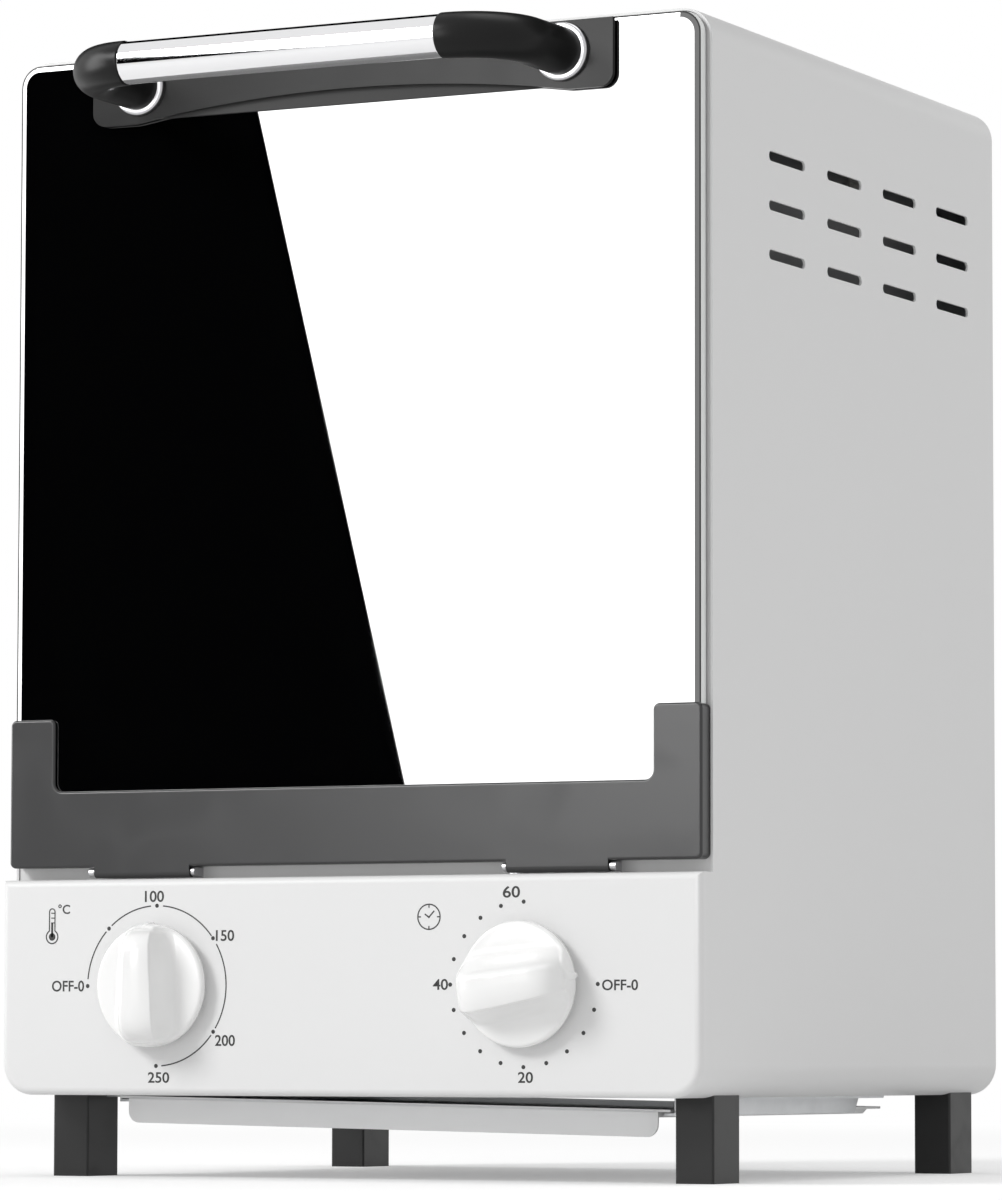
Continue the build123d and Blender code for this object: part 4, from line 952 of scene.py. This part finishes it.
def cross_recess(x, z, y, radius):
    """A screw head seen from behind the case: rings whose height falls from a low dome, with a cross sunk
    where the point is near either of two perpendicular lines and not far from the middle."""
    rays, rows = 48, 14
    dome_rise, dome_fall = 0.55, 0.9
    arm_half, arm_reach, sink = 0.13, 0.62, 0.3
    angle = full_turn(rays)[None, :]
    share = np.linspace(0.03, 1.0, rows)[:, None]
    u, v = radius * share * np.cos(angle), radius * share * np.sin(angle)
    dome = dome_rise * radius * np.sqrt(np.clip(1 - dome_fall * share ** 2, 0, 1)) + 0 * angle
    near = np.minimum(np.abs(u), np.abs(v)) < arm_half * radius
    height = dome - np.where(near & (share < arm_reach), sink * radius * (1 - share), 0.0)
    rings = np.stack([x + u, y + height, z + v], axis=-1)
    foot = np.stack([x + u[-1], np.full(rays, y), z + v[-1]], axis=-1)
    return np.concatenate([rings, foot[None]])


class SterilizerFasteners(bpy.types.Operator):
    """Finishes the screws and makes the cross recessed heads on the back"""
    bl_idname = "sterilizer.fasteners"
    bl_label = "Screws"

    def execute(self, context):
        for node in ("foot_screws", "handle_screws"):
            dress(node, steel)
        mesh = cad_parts["case_screws"].data
        points = np.empty(len(mesh.vertices) * 3)
        mesh.vertices.foreach_get("co", points)
        points = points.reshape(-1, 3)
        face = points[:, 1].max()
        radius, tip_depth, head_height = SCREW_HEAD_RADIUS, 0.3 * MM, 1.6 * MM
        heads, centres = [], []
        tips = points[points[:, 1] > face - tip_depth]
        for x, z in tips[:, [0, 2]]:
            if all(math.hypot(x - a, z - b) > 2 * radius for a, b in centres):
                near = tips[np.hypot(tips[:, 0] - x, tips[:, 2] - z) < 2 * radius]
                centres.append(tuple((near.min(axis=0) + near.max(axis=0))[[0, 2]] / 2))
        for number, (x, z) in enumerate(centres):
            rings = cross_recess(x, z, face - head_height, radius)
            heads.append(capped_rings(f"screw_head_{number}", rings, finish_of(steel)))
        whole = joined("case_screw_heads", heads)
        sharpen(whole, 35.0)
        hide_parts("case_screws")
        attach(whole, "case")
        return {"FINISHED"}


# Studio

def through_light_path(tree, passes, seen, unseen, out):
    """Mixes two shaders by the kinds of ray: seen for any of the named passes, unseen for the others."""
    path = new_node(tree, "LightPath").outputs
    value = path[passes[0]]
    for name in passes[1:]:
        most = operation_node(tree, "Math", "MAXIMUM")
        wire(tree, (value, most.inputs[0]), (path[name], most.inputs[1]))
        value = most.outputs[0]
    mix = new_node(tree, "MixShader")
    wire(tree, (value, mix.inputs[0]), (unseen.outputs[0], mix.inputs[1]), (seen.outputs[0], mix.inputs[2]),
         (mix.outputs[0], out.inputs["Surface"]))


def empty_material(name):
    """A new material without nodes, and its tree."""
    material = bpy.data.materials.new(name)
    material.use_nodes = True
    material.node_tree.nodes.clear()
    return material, material.node_tree


def card_material(name, grey, strength):
    """A card that only mirrored rays see."""
    material, tree = empty_material(name)
    glow = new_node(tree, "Emission", Color=(grey, grey, grey, 1.0), Strength=strength)
    through_light_path(tree, ("Is Glossy Ray",), glow, new_node(tree, "BsdfTransparent"),
                       new_node(tree, "OutputMaterial"))
    return material


def floor_material():
    """A pale matt floor near the object. What the camera sees of it passes into plain white farther out."""
    material, tree = empty_material("pale_floor")
    matt = new_node(tree, "BsdfDiffuse", Color=(0.80, 0.80, 0.80, 1.0))
    glow = new_node(tree, "Emission", Strength=0.24)
    both = new_node(tree, "AddShader")
    place = new_node(tree, "TexCoord")
    away = operation_node(tree, "VectorMath", "LENGTH")
    share = new_node(tree, "MapRange", From_Min=0.55, From_Max=1.6)
    share.interpolation_type = "SMOOTHSTEP"
    plain = new_node(tree, "Emission", Strength=1.0)
    seen = new_node(tree, "MixShader")
    wire(tree, (matt.outputs[0], both.inputs[0]), (glow.outputs[0], both.inputs[1]),
         (place.outputs["Object"], away.inputs[0]), (away.outputs["Value"], share.inputs["Value"]),
         (share.outputs["Result"], seen.inputs[0]), (both.outputs[0], seen.inputs[1]),
         (plain.outputs[0], seen.inputs[2]))
    through_light_path(tree, LOOKED_AT, seen, matt, new_node(tree, "OutputMaterial"))
    return material


def lamp(name, place, aim, size, power):
    """A round soft lamp, turned from its place towards its aim."""
    light = bpy.data.lights.new(name, "AREA")
    light.shape = "DISK"
    light.size = size
    light.energy = power
    obj = bpy.data.objects.new(name, light)
    obj.location = place
    obj.rotation_euler = (Vector(aim) - Vector(place)).to_track_quat("-Z", "Y").to_euler()
    bpy.context.scene.collection.objects.link(obj)


def card(name, corners, material):
    """One flat piece of the studio from its four corners."""
    board = mesh_object(name, np.array(corners), [[0, 1, 2, 3]], material, smooth=False)


class SterilizerStage(bpy.types.Operator):
    """Sets the floor, the surrounding light, the lamps, the cards that the glass mirrors and the camera"""
    bl_idname = "sterilizer.stage"
    bl_label = "Studio"

    def execute(self, context):
        s = studio()
        scene = context.scene
        scene.view_settings.view_transform = "Standard"
        reach = 8.0
        corners = np.array([(-reach, -reach, 0), (reach, -reach, 0), (reach, reach, 0), (-reach, reach, 0)])
        floor = mesh_object("floor", corners, [[0, 1, 2, 3]], floor_material(), smooth=False)
        world = bpy.data.worlds.new("studio")
        scene.world = world
        world.use_nodes = True
        tree = world.node_tree
        tree.nodes.clear()
        white = (1.0, 1.0, 1.0, 1.0)
        seen = new_node(tree, "Background", Strength=1.0, Color=white)
        ambient = new_node(tree, "Background", Strength=s.ambient, Color=white)
        through_light_path(tree, LOOKED_AT, seen, ambient, new_node(tree, "OutputWorld"))
        lamp("key_lamp", place=(-1.55, -2.2, 1.75), aim=(0, 0, 0.18), size=1.1, power=s.key_power)
        lamp("top_lamp", place=(0.4, 0.2, 2.4), aim=(0, 0, 0.2), size=1.4, power=s.top_power)
        self.mirrored_cards(s)
        camera = bpy.data.cameras.new("camera")
        camera.lens = s.lens
        camera.sensor_width = 36.0
        camera.clip_end = 50.0
        holder = bpy.data.objects.new("camera", camera)
        scene.collection.objects.link(holder)
        a, e, r = s.yaw, s.pitch, s.roll
        ahead = Vector((-math.sin(a) * math.cos(e), math.cos(a) * math.cos(e), math.sin(e)))
        level = Vector((math.cos(a), math.sin(a), 0.0))
        over = level.cross(ahead)
        right = math.cos(r) * level + math.sin(r) * over
        up = -math.sin(r) * level + math.cos(r) * over
        turn = Matrix((right, up, -ahead)).transposed().to_4x4()
        holder.matrix_world = Matrix.Translation(s.camera) @ turn
        scene.camera = holder
        return {"FINISHED"}

    def mirrored_cards(self, s):
        """A black and a white card in front of the door, to its left, which meet along the slanting line
        that the camera sees in the glass: each point is a glass point seen from the mirrored camera. The
        other cards stand at the back and to the left, and a narrow one lies low in the board's plane."""
        face = GLASS_LOW[1]
        board = face - 1.2
        eye = np.array([s.camera[0], 2 * face - s.camera[1], s.camera[2]])
        stretch = (board - eye[1]) / (face - eye[1])

        def on_card(x, z):
            """The point where the line from the mirrored camera through a point of the glass meets the card."""
            return eye + (np.array([x * MM, face, z * MM]) - eye) * stretch

        def upright(name, y, across, height, material):
            """A card that stands across the view, from its two sides, foot and top."""
            (x0, x1), (z0, z1) = across, height
            card(name, [(x0, y, z0), (x1, y, z0), (x1, y, z1), (x0, y, z1)], material)

        slope, below, above, left, right = 0.2494, 40, 60, -140, 260
        low = on_card(20.9 + slope * below, 126.7 - below)
        high = on_card(-33.0 - slope * above, 342.8 + above)
        far_low, far_high, near_low, near_high = (on_card(x, z) for x in (right, left) for z in (86.7, 402.8))
        card("white_card", [low, far_low, far_high, high], card_material("white_card", 1, s.card_strength))
        black = card_material("black_card", 0, 0.0)
        card("black_card", [near_low, low, high, near_high], black)
        upright("line_card", board, (-1.6, -0.2), (0.13, 0.165), black)
        upright("rear_black_card", 0.9, (-2.0, 2.0), (0.75, 2.4), black)
        x, front, rear, foot, top = -1.25, -1.15, -0.35, 0.05, 1.3
        card("left_white_card", [(x, front, foot), (x, rear, foot), (x, rear, top), (x, front, top)],
             card_material("left_white_card", 1, 9.0))


class SterilizerPanel(bpy.types.Panel):
    """Lists the pieces"""
    bl_idname = "VIEW3D_PT_sterilizer"
    bl_label = "Dry heat sterilizer"
    bl_space_type = "VIEW_3D"
    bl_region_type = "UI"
    bl_category = "Sterilizer"

    def draw(self, context):
        for operator in PIECES:
            self.layout.operator(operator.bl_idname)
        for group in (sizes(), colours(), studio()):
            box = self.layout.box()
            for key in group.bl_rna.properties.keys():
                if key not in ("rna_type", "name"):
                    box.prop(group, key)


GROUPS = (SterilizerSizes, SterilizerColours, StudioSettings)
PIECES = (SterilizerCase, SterilizerChamber, SterilizerControls, SterilizerDoor, SterilizerHandle,
          SterilizerKnobs, SterilizerDialPrint, SterilizerTray, SterilizerFeet, SterilizerFasteners,
          SterilizerStage)


def register():
    for cls in GROUPS + PIECES + (SterilizerPanel,):
        bpy.utils.register_class(cls)
    bpy.types.Scene.sterilizer_sizes = PointerProperty(type=SterilizerSizes)
    bpy.types.Scene.sterilizer_colours = PointerProperty(type=SterilizerColours)
    bpy.types.Scene.sterilizer_studio = PointerProperty(type=StudioSettings)


def unregister():
    del bpy.types.Scene.sterilizer_sizes
    del bpy.types.Scene.sterilizer_colours
    del bpy.types.Scene.sterilizer_studio
    for cls in reversed(GROUPS + PIECES + (SterilizerPanel,)):
        bpy.utils.unregister_class(cls)


def main():
    register()
    for cls in PIECES:
        getattr(bpy.ops.sterilizer, cls.bl_idname.split(".")[1])()


if __name__ == "__main__":
    main()
